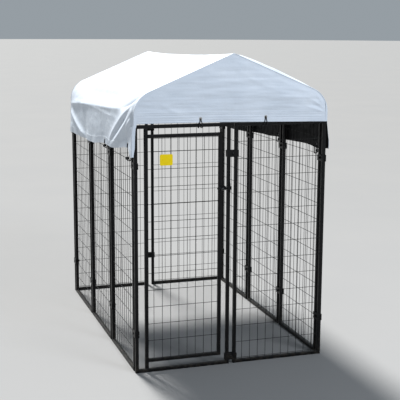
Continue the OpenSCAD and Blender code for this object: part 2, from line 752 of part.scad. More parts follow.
gate_surround();
front_panel_frame();
left_panel_frame_front();
left_panel_frame_middle();
left_panel_frame_rear();
right_panel_frame_front();
right_panel_frame_middle();
right_panel_frame_rear();
rear_panel_frame_left();
rear_panel_frame_right();
front_panel_mesh();
left_panel_mesh_front();
left_panel_mesh_middle();
left_panel_mesh_rear();
right_panel_mesh_front();
right_panel_mesh_middle();
right_panel_mesh_rear();
rear_panel_mesh_left();
rear_panel_mesh_right();
gate_leaf_frame();
gate_leaf_mesh();
gate_pivot_pin_upper();
gate_pivot_pin_lower();
gate_bush_upper();
gate_bush_lower();
latch_plate();
latch_plate_screws();
latch_rod();
latch_knob();
latch_keeper();
latch_keeper_screws();
blank_tag();
tag_rivets();
clamp_plates_outer();
clamp_plates_inner();
clamp_bolts();
clamp_nuts();
stile_caps();
roof_hoop_front_left();
roof_hoop_front_right();
roof_hoop_rear_left();
roof_hoop_rear_right();
ridge_pole();
ridge_connector_front();
ridge_connector_rear();
roof_tube_screws();
hoop_leg_screws();
cover_roof();
cover_end_front();
cover_end_rear();
cover_eyelets();
cover_tie_cords();
cover_tie_balls();
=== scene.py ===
# Looks of the outdoor dog kennel run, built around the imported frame.
# Sizes are in millimetres, as the construction has them; meshes are made in metres.
import math

import bpy
import numpy as np
from mathutils import Matrix, Vector


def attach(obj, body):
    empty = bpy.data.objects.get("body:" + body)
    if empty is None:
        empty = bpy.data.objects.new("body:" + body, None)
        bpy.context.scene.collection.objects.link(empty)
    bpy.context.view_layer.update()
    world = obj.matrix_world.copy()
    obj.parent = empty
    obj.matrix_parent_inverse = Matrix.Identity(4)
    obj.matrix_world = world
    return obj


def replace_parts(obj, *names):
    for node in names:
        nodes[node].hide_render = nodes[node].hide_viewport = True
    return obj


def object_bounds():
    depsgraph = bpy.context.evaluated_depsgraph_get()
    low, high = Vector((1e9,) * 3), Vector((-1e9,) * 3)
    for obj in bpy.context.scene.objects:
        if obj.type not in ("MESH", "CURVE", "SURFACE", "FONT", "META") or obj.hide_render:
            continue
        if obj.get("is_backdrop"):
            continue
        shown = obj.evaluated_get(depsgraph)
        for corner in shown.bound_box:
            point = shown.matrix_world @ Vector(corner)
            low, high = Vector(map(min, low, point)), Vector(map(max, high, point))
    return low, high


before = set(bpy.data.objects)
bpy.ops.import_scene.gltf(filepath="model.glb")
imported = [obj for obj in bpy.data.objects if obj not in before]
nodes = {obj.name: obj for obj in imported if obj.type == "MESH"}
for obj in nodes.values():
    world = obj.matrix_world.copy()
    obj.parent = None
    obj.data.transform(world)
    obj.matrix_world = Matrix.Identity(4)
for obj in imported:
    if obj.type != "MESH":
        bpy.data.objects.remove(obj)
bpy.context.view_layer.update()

# ------------------------------------------------------------------ sizes
TUBE, WALL = 20.0, 1.2
PANEL_W, PANEL_H, GAP = 578.8, 1460.0, 26.0
X0, X1 = -591.8, 591.8
Y0, Y1 = -924.5, 955.9
PITCH_X, PITCH_Z = 50.8, 101.6
WIRE_R, WOFF = 1.5, 1.2
COLS, WIRE_Z0, WIRE_N = 11, 28.0, 14
LEAF_X0, LEAF_X1, LEAF_Z0, LEAF_Z1 = -531.8, -65.5, 60.0, 1405.0
STILE_Z0, STILE_Z1 = 23.3, 1436.7
LEG_X, BEND_R, BEND_Z = 581.8, 140.0, 1507.0
SLOPE = math.radians(22.8)
TURN = math.pi / 2 - SLOPE
SIDE_TIES = [132.2, 737.0]  # behind the front face
SIDE_EYES = {-1: [1343.0, 1297.0], 1: [1300.0, 1297.0]}
SIDE_WIRE = 1247.2
END_TIES = [-200.0, 200.0]
END_EYE = 1489.0


def drop(y):
    return (np.asarray(y, float) + 914.5) * 50.0 / 1860.4


# ------------------------------------------------------------------ small tools
def smooth(a, b, x):
    t = np.clip((np.asarray(x, float) - a) / (b - a), 0, 1)
    return t * t * (3 - 2 * t)


def noise2(x, y, seed):
    """Gradient noise, about -0.7 to 0.7."""
    x, y = np.broadcast_arrays(np.asarray(x, float), np.asarray(y, float))
    rng = np.random.default_rng(seed)
    perm = rng.permutation(256)
    ang = rng.random(256) * 2 * np.pi
    xi, yi = np.floor(x).astype(int), np.floor(y).astype(int)
    fx, fy = x - xi, y - yi
    u = fx**3 * (fx * (fx * 6 - 15) + 10)
    v = fy**3 * (fy * (fy * 6 - 15) + 10)

    def g(ix, iy, dx, dy):
        a = ang[(perm[ix & 255] + iy) & 255]
        return np.cos(a) * dx + np.sin(a) * dy

    a = g(xi, yi, fx, fy)
    b = g(xi + 1, yi, fx - 1, fy)
    c = g(xi, yi + 1, fx, fy - 1)
    d = g(xi + 1, yi + 1, fx - 1, fy - 1)
    return (a + (b - a) * u) + ((c + (d - c) * u) - (a + (b - a) * u)) * v


def spline(points, n):
    """Points along a smooth curve through the given ones, evenly spaced."""
    p = np.asarray(points, float)
    ext = np.vstack([2 * p[0] - p[1], p, 2 * p[-1] - p[-2]])
    out = []
    for i in range(1, len(ext) - 2):
        a, b, c, d = ext[i - 1], ext[i], ext[i + 1], ext[i + 2]
        t = np.linspace(0, 1, 24, endpoint=False)[:, None]
        out.append(
            0.5
            * (
                2 * b
                + (c - a) * t
                + (2 * a - 5 * b + 4 * c - d) * t**2
                + (3 * b - a - 3 * c + d) * t**3
            )
        )
    out = np.vstack(out + [p[-1:]])
    s = np.concatenate([[0], np.cumsum(np.linalg.norm(np.diff(out, axis=0), axis=1))])
    want = np.linspace(0, s[-1], n)
    return np.stack([np.interp(want, s, out[:, k]) for k in range(out.shape[1])], axis=1)


def height_curve(table):
    """Smooth height along Y from given (Y, z) pairs."""
    t = np.array(table, float)
    m = np.gradient(t[:, 1], t[:, 0])

    def at(y):
        y = np.clip(np.asarray(y, float), t[0, 0], t[-1, 0])
        i = np.clip(np.searchsorted(t[:, 0], y) - 1, 0, len(t) - 2)
        h = t[i + 1, 0] - t[i, 0]
        u = (y - t[i, 0]) / h
        return (
            (2 * u**3 - 3 * u**2 + 1) * t[i, 1]
            + (u**3 - 2 * u**2 + u) * h * m[i]
            + (-2 * u**3 + 3 * u**2) * t[i + 1, 1]
            + (u**3 - u**2) * h * m[i + 1]
        )

    return at


def crease(a, b, line, width, power=1.35):
    """Height, 0 to 1, of a long fold that follows a line of (a, b, strength) points."""
    p = spline(line, 40)
    best = np.full(np.shape(a), 1e9)
    amp = np.zeros(np.shape(a))
    for (ya, wa, sa), (yb, wb, sb) in zip(p[:-1], p[1:]):
        dy, dw = yb - ya, wb - wa
        t = np.clip(((a - ya) * dy + (b - wa) * dw) / (dy * dy + dw * dw), 0, 1)
        d = np.hypot(a - ya - t * dy, b - wa - t * dw)
        near = d < best
        best = np.where(near, d, best)
        amp = np.where(near, sa + (sb - sa) * t, amp)
    u = best / width
    return amp * np.exp(-((np.sqrt(u * u + 0.03) - 0.17) ** power))


class Geo:
    """Collects closed bits of mesh, in millimetres, into one object."""

    def __init__(self):
        self.v, self.e, self.w, self.faces = [], [], [], []
        self.n = 0

    def add(self, verts, faces, mat=0, edge=None, weave=None):
        verts = np.asarray(verts, float).reshape(-1, 3)
        k = len(verts)
        self.v.append(verts)
        self.e.append(np.zeros(k) if edge is None else np.asarray(edge, float))
        self.w.append(np.zeros((k, 3)) if weave is None else np.asarray(weave, float))
        for f in faces:
            f = np.asarray(f, int)
            if f.size:
                self.faces.append((f + self.n, mat))
        self.n += k

    def copies(self, verts, faces, moves, mat=0):
        """The same bit at every offset in moves."""
        verts, moves = np.asarray(verts, float), np.asarray(moves, float)
        if not len(moves):
            return
        k = len(verts)
        allv = (verts[None] + moves[:, None]).reshape(-1, 3)
        step = (np.arange(len(moves)) * k)[:, None, None]
        self.add(allv, [(np.asarray(f, int)[None] + step).reshape(-1, np.shape(f)[1]) for f in faces], mat)

    def make(self, name, mats, body, slot, angle=42):
        v = np.concatenate(self.v) * 0.001
        me = bpy.data.meshes.new(name)
        loops = np.concatenate([f.ravel() for f, _ in self.faces])
        sizes = np.concatenate([np.full(len(f), f.shape[1]) for f, _ in self.faces])
        mat = np.concatenate([np.full(len(f), m) for f, m in self.faces])
        me.vertices.add(len(v))
        me.vertices.foreach_set("co", v.ravel())
        me.loops.add(len(loops))
        me.loops.foreach_set("vertex_index", loops.astype(np.int32))
        me.polygons.add(len(sizes))
        starts = np.concatenate([[0], np.cumsum(sizes)[:-1]])
        me.polygons.foreach_set("loop_start", starts.astype(np.int32))
        me.polygons.foreach_set("material_index", mat.astype(np.int32))
        me.update(calc_edges=True)
        me.validate()
        me.shade_smooth()
        me.set_sharp_from_angle(angle=math.radians(angle))
        a = me.attributes.new("edge", "FLOAT", "POINT")
        a.data.foreach_set("value", np.concatenate(self.e).astype(np.float32))
        a = me.attributes.new("weave", "FLOAT_VECTOR", "POINT")
        a.data.foreach_set("vector", np.concatenate(self.w).astype(np.float32).ravel())
        for m in mats:
            me.materials.append(m)
        o = bpy.data.objects.new(name, me)
        bpy.context.scene.collection.objects.link(o)
        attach(o, body)
        return o


def section(size, r, k=3):
    pts, edge = [], []
    h = size / 2 - r
    for cx, cy, a0 in ((h, h, 0), (-h, h, 90), (-h, -h, 180), (h, -h, 270)):
        for i in range(k + 1):
            t = math.radians(a0 + 90 * i / k)
            pts.append((cx + r * math.cos(t), cy + r * math.sin(t)))
            edge.append(0.0 if i in (0, k) else 1.0)
    return np.array(pts), np.array(edge)


OUT_PTS, OUT_EDGE = section(TUBE, 2.4)
IN_PTS, _ = section(TUBE - 2 * WALL, 1.2)
AXES = {"x": ((0, 1, 0), (0, 0, 1)), "y": ((0, 0, 1), (1, 0, 0)), "z": ((1, 0, 0), (0, 1, 0))}


def bar(geo, place, axis, mid, lo, hi):
    """Hollow square tube along an axis; mid holds the other two coordinates."""
    u, v = (np.array(q, float) for q in AXES[axis])
    d = np.cross(u, v)
    n = len(OUT_PTS)
    rings, edges = [], []
    for pts, e in ((OUT_PTS, OUT_EDGE), (IN_PTS, OUT_EDGE * 0)):
        for t in (lo, hi):
            rings.append(np.array(mid, float) + pts[:, :1] * u + pts[:, 1:] * v + t * d)
            edges.append(e)
    i = np.arange(n)
    j = (i + 1) % n
    quads = np.concatenate(
        [
            np.stack([i, j, j + n, i + n], 1),
            np.stack([i + 2 * n, i + 3 * n, j + 3 * n, j + 2 * n], 1),
            np.stack([j, i, i + 2 * n, j + 2 * n], 1),
            np.stack([i + n, j + n, j + 3 * n, i + 3 * n], 1),
        ]
    )
    geo.add(place(np.vstack(rings)), [quads], edge=np.concatenate(edges))


def sweep(path, radius, sides=10, caps=True, closed=False):
    """Round tube along a path; returns vertices and faces."""
    p = np.asarray(path, float)
    n = len(p)
    r = np.broadcast_to(np.asarray(radius, float), (n,))
    tan = np.gradient(p, axis=0)
    if closed:
        tan = np.roll(p, -1, 0) - np.roll(p, 1, 0)
    tan /= np.linalg.norm(tan, axis=1)[:, None]
    ref = np.array([0.0, 0.0, 1.0]) if abs(tan[0][2]) < 0.9 else np.array([1.0, 0.0, 0.0])
    u = np.cross(ref, tan[0])
    u /= np.linalg.norm(u)
    ang = np.arange(sides) * 2 * np.pi / sides
    verts = []
    for k in range(n):
        u = u - tan[k] * (u @ tan[k])
        u /= np.linalg.norm(u)
        w = np.cross(tan[k], u)
        verts.append(p[k] + r[k] * (np.cos(ang)[:, None] * u + np.sin(ang)[:, None] * w))
    i = np.arange(sides)
    j = (i + 1) % sides
    quads = []
    for k in range(n if closed else n - 1):
        a, b = k * sides, ((k + 1) % n) * sides
        quads.append(np.stack([a + i, a + j, b + j, b + i], 1))
    faces = [np.concatenate(quads)]
    if caps and not closed:
        faces.append(i[::-1][None])
        faces.append((i + (n - 1) * sides)[None])
    return np.vstack(verts), faces


def ball(radii, seg=8, rings=5):
    """Closed ellipsoid at the origin."""
    rx, ry, rz = radii
    v = [(0, 0, -rz)]
    for k in range(1, rings):
        t = -math.pi / 2 + math.pi * k / rings
        for s in range(seg):
            a = 2 * math.pi * s / seg
            v.append((rx * math.cos(t) * math.cos(a), ry * math.cos(t) * math.sin(a), rz * math.sin(t)))
    v.append((0, 0, rz))
    top = len(v) - 1
    i = np.arange(seg)
    j = (i + 1) % seg
    tris = [np.stack([0 * i, 1 + j, 1 + i], 1)]
    quads = []
    for k in range(rings - 2):
        a, b = 1 + k * seg, 1 + (k + 1) * seg
        quads.append(np.stack([a + i, a + j, b + j, b + i], 1))
    a = 1 + (rings - 2) * seg
    tris.append(np.stack([a + i, a + j, 0 * i + top], 1))
    return np.array(v), [np.concatenate(quads), np.concatenate(tris)]


# ------------------------------------------------------------------ materials
def new_mat(name):
    m = bpy.data.materials.new(name)
    m.use_nodes = True
    nt = m.node_tree
    nt.nodes.clear()
    out = nt.nodes.new("ShaderNodeOutputMaterial")
    b = nt.nodes.new("ShaderNodeBsdfPrincipled")
    nt.links.new(b.outputs["BSDF"], out.inputs["Surface"])
    return m, nt, b


def put(nt, socket, value):
    if isinstance(value, bpy.types.NodeSocket):
        nt.links.new(value, socket)
    else:
        socket.default_value = value


def coords(nt):
    return nt.nodes.new("ShaderNodeTexCoord").outputs["Object"]


def attr(nt, name, out="Vector"):
    a = nt.nodes.new("ShaderNodeAttribute")
    a.attribute_name = name
    return a.outputs[out]


def noise(nt, vec, scale, detail=4.0, rough=0.55, distort=0.0):
    n = nt.nodes.new("ShaderNodeTexNoise")
    put(nt, n.inputs["Vector"], vec)
    n.inputs["Scale"].default_value = scale
    n.inputs["Detail"].default_value = detail
    n.inputs["Roughness"].default_value = rough
    n.inputs["Distortion"].default_value = distort
    return n.outputs["Fac"]


def stretch(nt, vec, scale):
    n = nt.nodes.new("ShaderNodeMapping")
    put(nt, n.inputs["Vector"], vec)
    n.inputs["Scale"].default_value = scale
    return n.outputs["Vector"]


def span(nt, value, a, b, lo=0.0, hi=1.0):
    n = nt.nodes.new("ShaderNodeMapRange")
    put(nt, n.inputs["Value"], value)
    for k, x in (("From Min", a), ("From Max", b), ("To Min", lo), ("To Max", hi)):
        n.inputs[k].default_value = x
    return n.outputs["Result"]


def calc(nt, op, a, b=0.0):
    n = nt.nodes.new("ShaderNodeMath")
    n.operation = op
    put(nt, n.inputs[0], a)
    put(nt, n.inputs[1], b)
    return n.outputs[0]


def mix(nt, fac, a, b):
    n = nt.nodes.new("ShaderNodeMix")
    n.data_type = "RGBA"
    put(nt, n.inputs[0], fac)
    put(nt, n.inputs[6], a)
    put(nt, n.inputs[7], b)
    return n.outputs[2]


def rgb(r, g, b):
    return (r, g, b, 1.0)


def bump(nt, height, strength, distance, normal=None):
    n = nt.nodes.new("ShaderNodeBump")
    n.inputs["Strength"].default_value = strength
    n.inputs["Distance"].default_value = distance
    put(nt, n.inputs["Height"], height)
    if normal is not None:
        nt.links.new(normal, n.inputs["Normal"])
    return n.outputs["Normal"]


def z_of(nt, vec):
    n = nt.nodes.new("ShaderNodeSeparateXYZ")
    put(nt, n.inputs[0], vec)
    return n.outputs["Z"]


def powder_coat(name, lo, hi, rough, peel):
    """Black powder coat: orange peel, faint dust low down, edges rubbed pale."""
    m, nt, b = new_mat(name)
    c = coords(nt)
    base = mix(nt, noise(nt, c, 5.0, 5), rgb(*lo), rgb(*hi))
    worn = calc(nt, "MULTIPLY", attr(nt, "edge", "Fac"), span(nt, noise(nt, c, 85.0, 3), 0.52, 0.74))
    base = mix(nt, calc(nt, "MULTIPLY", worn, 0.55), base, rgb(0.085, 0.083, 0.08))
    low = span(nt, z_of(nt, c), 0.0, 0.16, 1.0, 0.0)
    dust = calc(nt, "MULTIPLY", low, span(nt, noise(nt, c, 38.0, 6), 0.45, 0.75))
    base = mix(nt, calc(nt, "MULTIPLY", dust, 0.35), base, rgb(0.12, 0.10, 0.075))
    put(nt, b.inputs["Base Color"], base)
    put(nt, b.inputs["Roughness"], span(nt, noise(nt, c, 24.0, 4), 0.3, 0.7, rough - 0.06, rough + 0.09))
    b.inputs["Specular IOR Level"].default_value = 0.16
    put(nt, b.inputs["Normal"], bump(nt, noise(nt, c, peel, 2), 0.12, 0.0004))
    return m


M_FRAME = powder_coat("frame_coat", (0.003, 0.003, 0.0034), (0.0065, 0.0065, 0.007), 0.38, 620.0)
M_WIRE = powder_coat("wire_coat", (0.0035, 0.0035, 0.004), (0.007, 0.007, 0.0075), 0.4, 900.0)


def metal(name, a, b_col, rough, spangle=None):
    m, nt, b = new_mat(name)
    c = coords(nt)
    if spangle:
        v = nt.nodes.new("ShaderNodeTexVoronoi")
        put(nt, v.inputs["Vector"], c)
        v.inputs["Scale"].default_value = spangle
        grey = nt.nodes.new("ShaderNodeSeparateColor")
        nt.links.new(v.outputs["Color"], grey.inputs[0])
        fac = grey.outputs[0]
    else:
        fac = noise(nt, c, 160.0, 5)
    put(nt, b.inputs["Base Color"], mix(nt, fac, rgb(*a), rgb(*b_col)))
    b.inputs["Metallic"].default_value = 1.0
    put(nt, b.inputs["Roughness"], span(nt, noise(nt, c, 420.0, 4), 0.3, 0.7, rough - 0.08, rough + 0.12))
    put(nt, b.inputs["Normal"], bump(nt, noise(nt, c, 1500.0, 2), 0.08, 0.0003))
    return m


M_ZINC = metal("zinc_plate", (0.50, 0.50, 0.49), (0.62, 0.63, 0.64), 0.32)
M_GALV = metal("galvanised", (0.34, 0.35, 0.36), (0.50, 0.51, 0.52), 0.42, spangle=170.0)


def plastic(name, lo, hi, rough, grain, spec=0.45):
    m, nt, b = new_mat(name)
    c = coords(nt)
    put(nt, b.inputs["Base Color"], mix(nt, noise(nt, c, 40.0, 4), rgb(*lo), rgb(*hi)))
    put(nt, b.inputs["Roughness"], span(nt, noise(nt, c, 130.0, 4), 0.3, 0.7, rough - 0.06, rough + 0.1))
    b.inputs["Specular IOR Level"].default_value = spec
    put(nt, b.inputs["Normal"], bump(nt, noise(nt, c, grain, 2), 0.15, 0.0003))
    return m


M_PLASTIC = plastic("black_moulding", (0.011, 0.011, 0.012), (0.022, 0.022, 0.023), 0.5, 1300.0)
M_KNOB = plastic("knob_moulding", (0.008, 0.008, 0.009), (0.016, 0.016, 0.017), 0.3, 1700.0)
M_TAG = plastic("yellow_enamel", (0.80, 0.575, 0.002), (0.87, 0.67, 0.006), 0.4, 500.0, spec=0.2)


def tarp(name, dark, light, rough, inside):
    """Woven and coated sheet: flat tapes over and under, soft crinkle, faint soil."""
    m, nt, b = new_mat(name)
    w = attr(nt, "weave")
    c = coords(nt)
    waves = []
    for direction in ("X", "Y"):
        t = nt.nodes.new("ShaderNodeTexWave")
        t.wave_type = "BANDS"
        t.bands_direction = direction
        t.wave_profile = "SIN"
        put(nt, t.inputs["Vector"], w)
        t.inputs["Scale"].default_value = 2 * math.pi / (20 * 0.0026)
        waves.append(t.outputs["Fac"])
    chk = nt.nodes.new("ShaderNodeTexChecker")
    put(nt, chk.inputs["Vector"], w)
    chk.inputs["Scale"].default_value = 1 / 0.0026
    over = chk.outputs["Fac"]
    weave = calc(
        nt,
        "ADD",
        calc(nt, "MULTIPLY", waves[0], over),
        calc(nt, "MULTIPLY", waves[1], calc(nt, "SUBTRACT", 1.0, over)),
    )
    tone = calc(
        nt,
        "ADD",
        calc(nt, "MULTIPLY", weave, 0.28),
        calc(nt, "MULTIPLY", noise(nt, stretch(nt, w, (5.0, 9.0, 1.0)), 1.0, 6), 0.9),
    )
    base = mix(nt, span(nt, tone, 0.25, 0.95), rgb(*dark), rgb(*light))
    if not inside:
        soil = span(nt, noise(nt, c, 7.0, 6, 0.65), 0.56, 0.82, 0.0, 0.16)
        base = mix(nt, soil, base, rgb(0.42, 0.43, 0.42))
    put(nt, b.inputs["Base Color"], base)
    put(nt, b.inputs["Roughness"], span(nt, noise(nt, c, 30.0, 4), 0.3, 0.7, rough - 0.06, rough + 0.1))
    b.inputs["Specular IOR Level"].default_value = 0.12 if inside else 0.35
    n1 = bump(nt, noise(nt, stretch(nt, w, (26.0, 40.0, 1.0)), 1.0, 5, 0.5, 0.6), 0.22, 0.004)
    put(nt, b.inputs["Normal"], bump(nt, weave, 0.18, 0.0004, n1))
    return m


# The outside colours lean blue: that blue cast is painted skylight shade, the sheet itself being a light silver grey.
M_COVER = tarp("cover_outside", (0.55, 0.615, 0.705), (0.68, 0.74, 0.825), 0.46, False)
M_LINING = tarp("cover_inside", (0.007, 0.0075, 0.0085), (0.016, 0.017, 0.019), 0.55, True)
M_THREAD = plastic("sewing_thread", (0.66, 0.68, 0.71), (0.80, 0.82, 0.84), 0.7, 2500.0, 0.2)


def braid(name):
    m, nt, b = new_mat(name)
    w = attr(nt, "weave")
    t = nt.nodes.new("ShaderNodeTexWave")
    t.wave_type = "BANDS"
    t.bands_direction = "DIAGONAL"
    put(nt, t.inputs["Vector"], w)
    t.inputs["Scale"].default_value = 2 * math.pi / (20 * 0.0022)
    t.inputs["Distortion"].default_value = 0.6
    put(nt, b.inputs["Base Color"], mix(nt, t.outputs["Fac"], rgb(0.006, 0.006, 0.007), rgb(0.022, 0.022, 0.024)))
    put(nt, b.inputs["Roughness"], span(nt, noise(nt, coords(nt), 300.0, 3), 0.3, 0.7, 0.62, 0.82))
    b.inputs["Specular IOR Level"].default_value = 0.25
    put(nt, b.inputs["Normal"], bump(nt, t.outputs["Fac"], 0.6, 0.0006))
    return m


M_CORD = braid("braided_elastic")

# ------------------------------------------------------------------ CAD nodes that stay
STAY = {
    M_FRAME: [
        "latch_plate", "latch_rod", "latch_keeper", "clamp_plates_outer", "clamp_plates_inner",
        "latch_plate_screws", "latch_keeper_screws", "clamp_bolts", "clamp_nuts",
    ],
    M_ZINC: ["gate_pivot_pin_upper", "gate_pivot_pin_lower", "roof_tube_screws", "hoop_leg_screws", "cover_eyelets"],
    M_GALV: [
        "roof_hoop_front_left", "roof_hoop_front_right", "roof_hoop_rear_left", "roof_hoop_rear_right", "ridge_pole",
    ],
    M_PLASTIC: ["gate_bush_upper", "gate_bush_lower", "stile_caps", "ridge_connector_front", "ridge_connector_rear"],
    M_KNOB: ["latch_knob"],
    M_TAG: ["blank_tag", "tag_rivets"],
}
for m, names in STAY.items():
    for n in names:
        o = nodes[n]
        o.data.materials.clear()
        o.data.materials.append(m)


def soften(name, width, segments=2, angle=35):
    """Rounds a CAD node's sharp edges with modifiers only."""
    o = nodes[name]
    w = o.modifiers.new("weld", "WELD")
    w.merge_threshold = 0.00002
    b = o.modifiers.new("edges", "BEVEL")
    b.width = width * 0.001
    b.segments = segments
    b.limit_method = "ANGLE"
    b.angle_limit = math.radians(angle)
    b.harden_normals = False
    n = o.modifiers.new("shade", "WEIGHTED_NORMAL")
    n.keep_sharp = False
    n.weight = 60


for n, w in (
    ("clamp_plates_outer", 0.9), ("clamp_plates_inner", 0.9), ("latch_plate", 0.8), ("latch_keeper", 0.8),
    ("stile_caps", 0.8), ("blank_tag", 0.5), ("latch_rod", 0.5),
):
    soften(n, w)

# ------------------------------------------------------------------ wall panels
def at_front(i):
    return lambda p: p + np.array([X0 + i * (PANEL_W + GAP), Y0, 0])


def at_rear(i):
    t = X0 + (i + 1) * PANEL_W + i * GAP
    return lambda p: np.stack([t - p[:, 0], Y1 - p[:, 1], p[:, 2]], 1)


def at_left(i):
    t = Y0 + TUBE + GAP + (i + 1) * PANEL_W + i * GAP
    return lambda p: np.stack([X0 + p[:, 1], t - p[:, 0], p[:, 2]], 1)


def at_right(i):
    t = Y0 + TUBE + GAP + i * (PANEL_W + GAP)
    return lambda p: np.stack([X1 - p[:, 1], t + p[:, 0], p[:, 2]], 1)


def weld_bead(geo, place, a, b, r, seed):
    """Small rippled bead from a to b."""
    a, b = np.array(a, float), np.array(b, float)
    k = max(8, int(np.linalg.norm(b - a) / 1.5))
    t = np.linspace(0, 1, k)
    rr = np.full(k, r) * (1 + 0.22 * np.sin(np.arange(k) * 2.1 + seed)) * np.sqrt(np.clip(4 * t * (1 - t), 0.12, 1)) ** 0.6
    v, f = sweep(a + t[:, None] * (b - a), rr, 7)
    geo.add(place(v), f, edge=np.full(len(v), 0.25))


def frame_welds(geo, place, x_l, x_r, rails, seed):
    """Beads where level rails meet the stiles: inner corner, front and back."""
    s = seed
    for z0 in rails:
        for x, out in ((x_l, 1), (x_r, -1)):
            s += 1.3
            for z, keep in ((z0, z0 > 30), (z0 + TUBE, z0 < PANEL_H - 60)):
                if keep:
                    weld_bead(geo, place, (x, 1.6, z), (x, TUBE - 1.6, z), 2.1, s + z)
            for y in (0.2, TUBE - 0.2):
                weld_bead(geo, place, (x, y, z0 + 1.5), (x, y, z0 + TUBE - 1.5), 1.5, s + y)


def panel_frame(place, seed):
    g = Geo()
    for x in (TUBE / 2, PANEL_W - TUBE / 2):
        bar(g, place, "z", (x, TUBE / 2, 0), 0, PANEL_H)
    for z in (TUBE / 2, PANEL_H - TUBE / 2):
        bar(g, place, "x", (0, TUBE / 2, z), TUBE, PANEL_W - TUBE)
    frame_welds(g, place, TUBE, PANEL_W - TUBE, (0, PANEL_H - TUBE), seed)
    return g


NUGGET = ball((2.3, 1.3, 2.3), 8, 4)
END_WELD = ball((2.4, 2.4, 2.4), 8, 4)


def wire_mesh(place, xs, zs, x_lo, x_hi, z_lo, z_hi):
    """Round wires, welded where they cross and where they meet the tube."""
    g = Geo()
    zero = np.zeros(len(xs))
    y_up, y_lv = TUBE / 2 + WOFF, TUBE / 2 - WOFF
    v, f = sweep([(0, y_up, z_lo - 0.8), (0, y_up, z_hi + 0.8)], WIRE_R, 12)
    g2 = Geo()
    g2.copies(v, f, np.stack([xs, zero, zero], 1))
    v, f = sweep([(x_lo - 0.8, y_lv, 0), (x_hi + 0.8, y_lv, 0)], WIRE_R, 12)
    zero = np.zeros(len(zs))
    g2.copies(v, f, np.stack([zero, zero, zs], 1))
    gx, gz = np.meshgrid(xs, zs)
    g2.copies(*NUGGET, np.stack([gx.ravel(), np.full(gx.size, TUBE / 2), gz.ravel()], 1))
    ends = [(x, y_up, z) for x in xs for z in (z_lo, z_hi)] + [(x, y_lv, z) for z in zs for x in (x_lo, x_hi)]
    g2.copies(*END_WELD, ends)
    allv = np.concatenate(g2.v)
    g.v, g.e, g.w, g.faces, g.n = [place(allv)], g2.e, g2.w, g2.faces, g2.n
    return g


WALLS = [("left_panel", k, at_left(i)) for i, k in enumerate(("front", "middle", "rear"))]
WALLS += [("right_panel", k, at_right(i)) for i, k in enumerate(("front", "middle", "rear"))]
WALLS += [("rear_panel", k, at_rear(i)) for i, k in enumerate(("left", "right"))]
panel_xs = TUBE / 2 + PITCH_X * np.arange(1, COLS)
panel_zs = WIRE_Z0 + PITCH_Z * np.arange(WIRE_N)


def wall_mesh(name, place, node):
    o = wire_mesh(place, panel_xs, panel_zs, TUBE, PANEL_W - TUBE, TUBE, PANEL_H - TUBE).make(name, [M_WIRE], "kennel", "mesh")
    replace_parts(o, node)


def wall_frame(name, place, node, seed):
    o = panel_frame(place, seed).make(name, [M_FRAME], "kennel", "frame")
    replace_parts(o, node)


for n, (wall, key, place) in enumerate(WALLS):
    wall_frame(f"{wall}_tubes_{key}", place, f"{wall}_frame_{key}", n)
    wall_mesh(f"{wall}_wires_{key}", place, f"{wall}_mesh_{key}")
wall_frame("gate_surround_tubes", at_front(0), "gate_surround", 20)
wall_frame("front_panel_tubes", at_front(1), "front_panel_frame", 21)
wall_mesh("front_panel_wires", at_front(1), "front_panel_mesh")

# ------------------------------------------------------------------ gate leaf
here = lambda p: p + np.array([0, Y0, 0])
g = Geo()
bar(g, here, "z", (LEAF_X0 + TUBE / 2, TUBE / 2, 0), STILE_Z0, STILE_Z1)
bar(g, here, "z", (LEAF_X1 - TUBE / 2, TUBE / 2, 0), LEAF_Z0, LEAF_Z1)
for z in (LEAF_Z0 + TUBE / 2, LEAF_Z1 - TUBE / 2):
    bar(g, here, "x", (0, TUBE / 2, z), LEAF_X0 + TUBE, LEAF_X1 - TUBE)
frame_welds(g, here, LEAF_X0 + TUBE, LEAF_X1 - TUBE, (LEAF_Z0, LEAF_Z1 - TUBE), 40)
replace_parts(g.make("gate_leaf_tubes", [M_FRAME], "gate", "frame"), "gate_leaf_frame")
mid = (LEAF_X0 + LEAF_X1) / 2
g = wire_mesh(
    here, mid + PITCH_X * np.arange(-3.5, 4), 1308.0 - PITCH_Z * np.arange(12),
    LEAF_X0 + TUBE, LEAF_X1 - TUBE, LEAF_Z0 + TUBE, LEAF_Z1 - TUBE,
)
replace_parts(g.make("gate_leaf_wires", [M_WIRE], "gate", "mesh"), "gate_leaf_mesh")

# ------------------------------------------------------------------ cover: shape
D = 11.6  # middle of the sheet outside the roof tube's middle line
RM = BEND_R + D
BCX = LEG_X - BEND_R
SX = BCX + RM * math.cos(TURN)
APEX = BEND_Z + RM * math.sin(TURN) + SX * math.tan(SLOPE)
LS, LB = SX / math.cos(SLOPE), RM * TURN
YF, YR = Y0 - 2.4, Y1 + 2.4
THICK = 1.0

HEM = {
    -1: height_curve(
        [(-3, 1278), (25, 1279), (55, 1290), (95, 1313), (132.2, 1318), (175, 1316), (300, 1299), (467, 1278),
         (600, 1270), (737, 1272), (850, 1262), (1057, 1238), (1200, 1232), (1341.8, 1233), (1450, 1229),
         (1650, 1224), (1884, 1222)]
    ),
    1: height_curve(
        [(-3, 1287), (40, 1283), (85, 1278), (132.2, 1275), (170, 1277), (219, 1280), (341, 1280), (482, 1274), (614, 1268),
         (737, 1272), (900, 1262), (1114, 1256), (1219, 1250), (1341.8, 1240), (1500, 1233), (1700, 1228), (1884, 1228)]
    ),
}
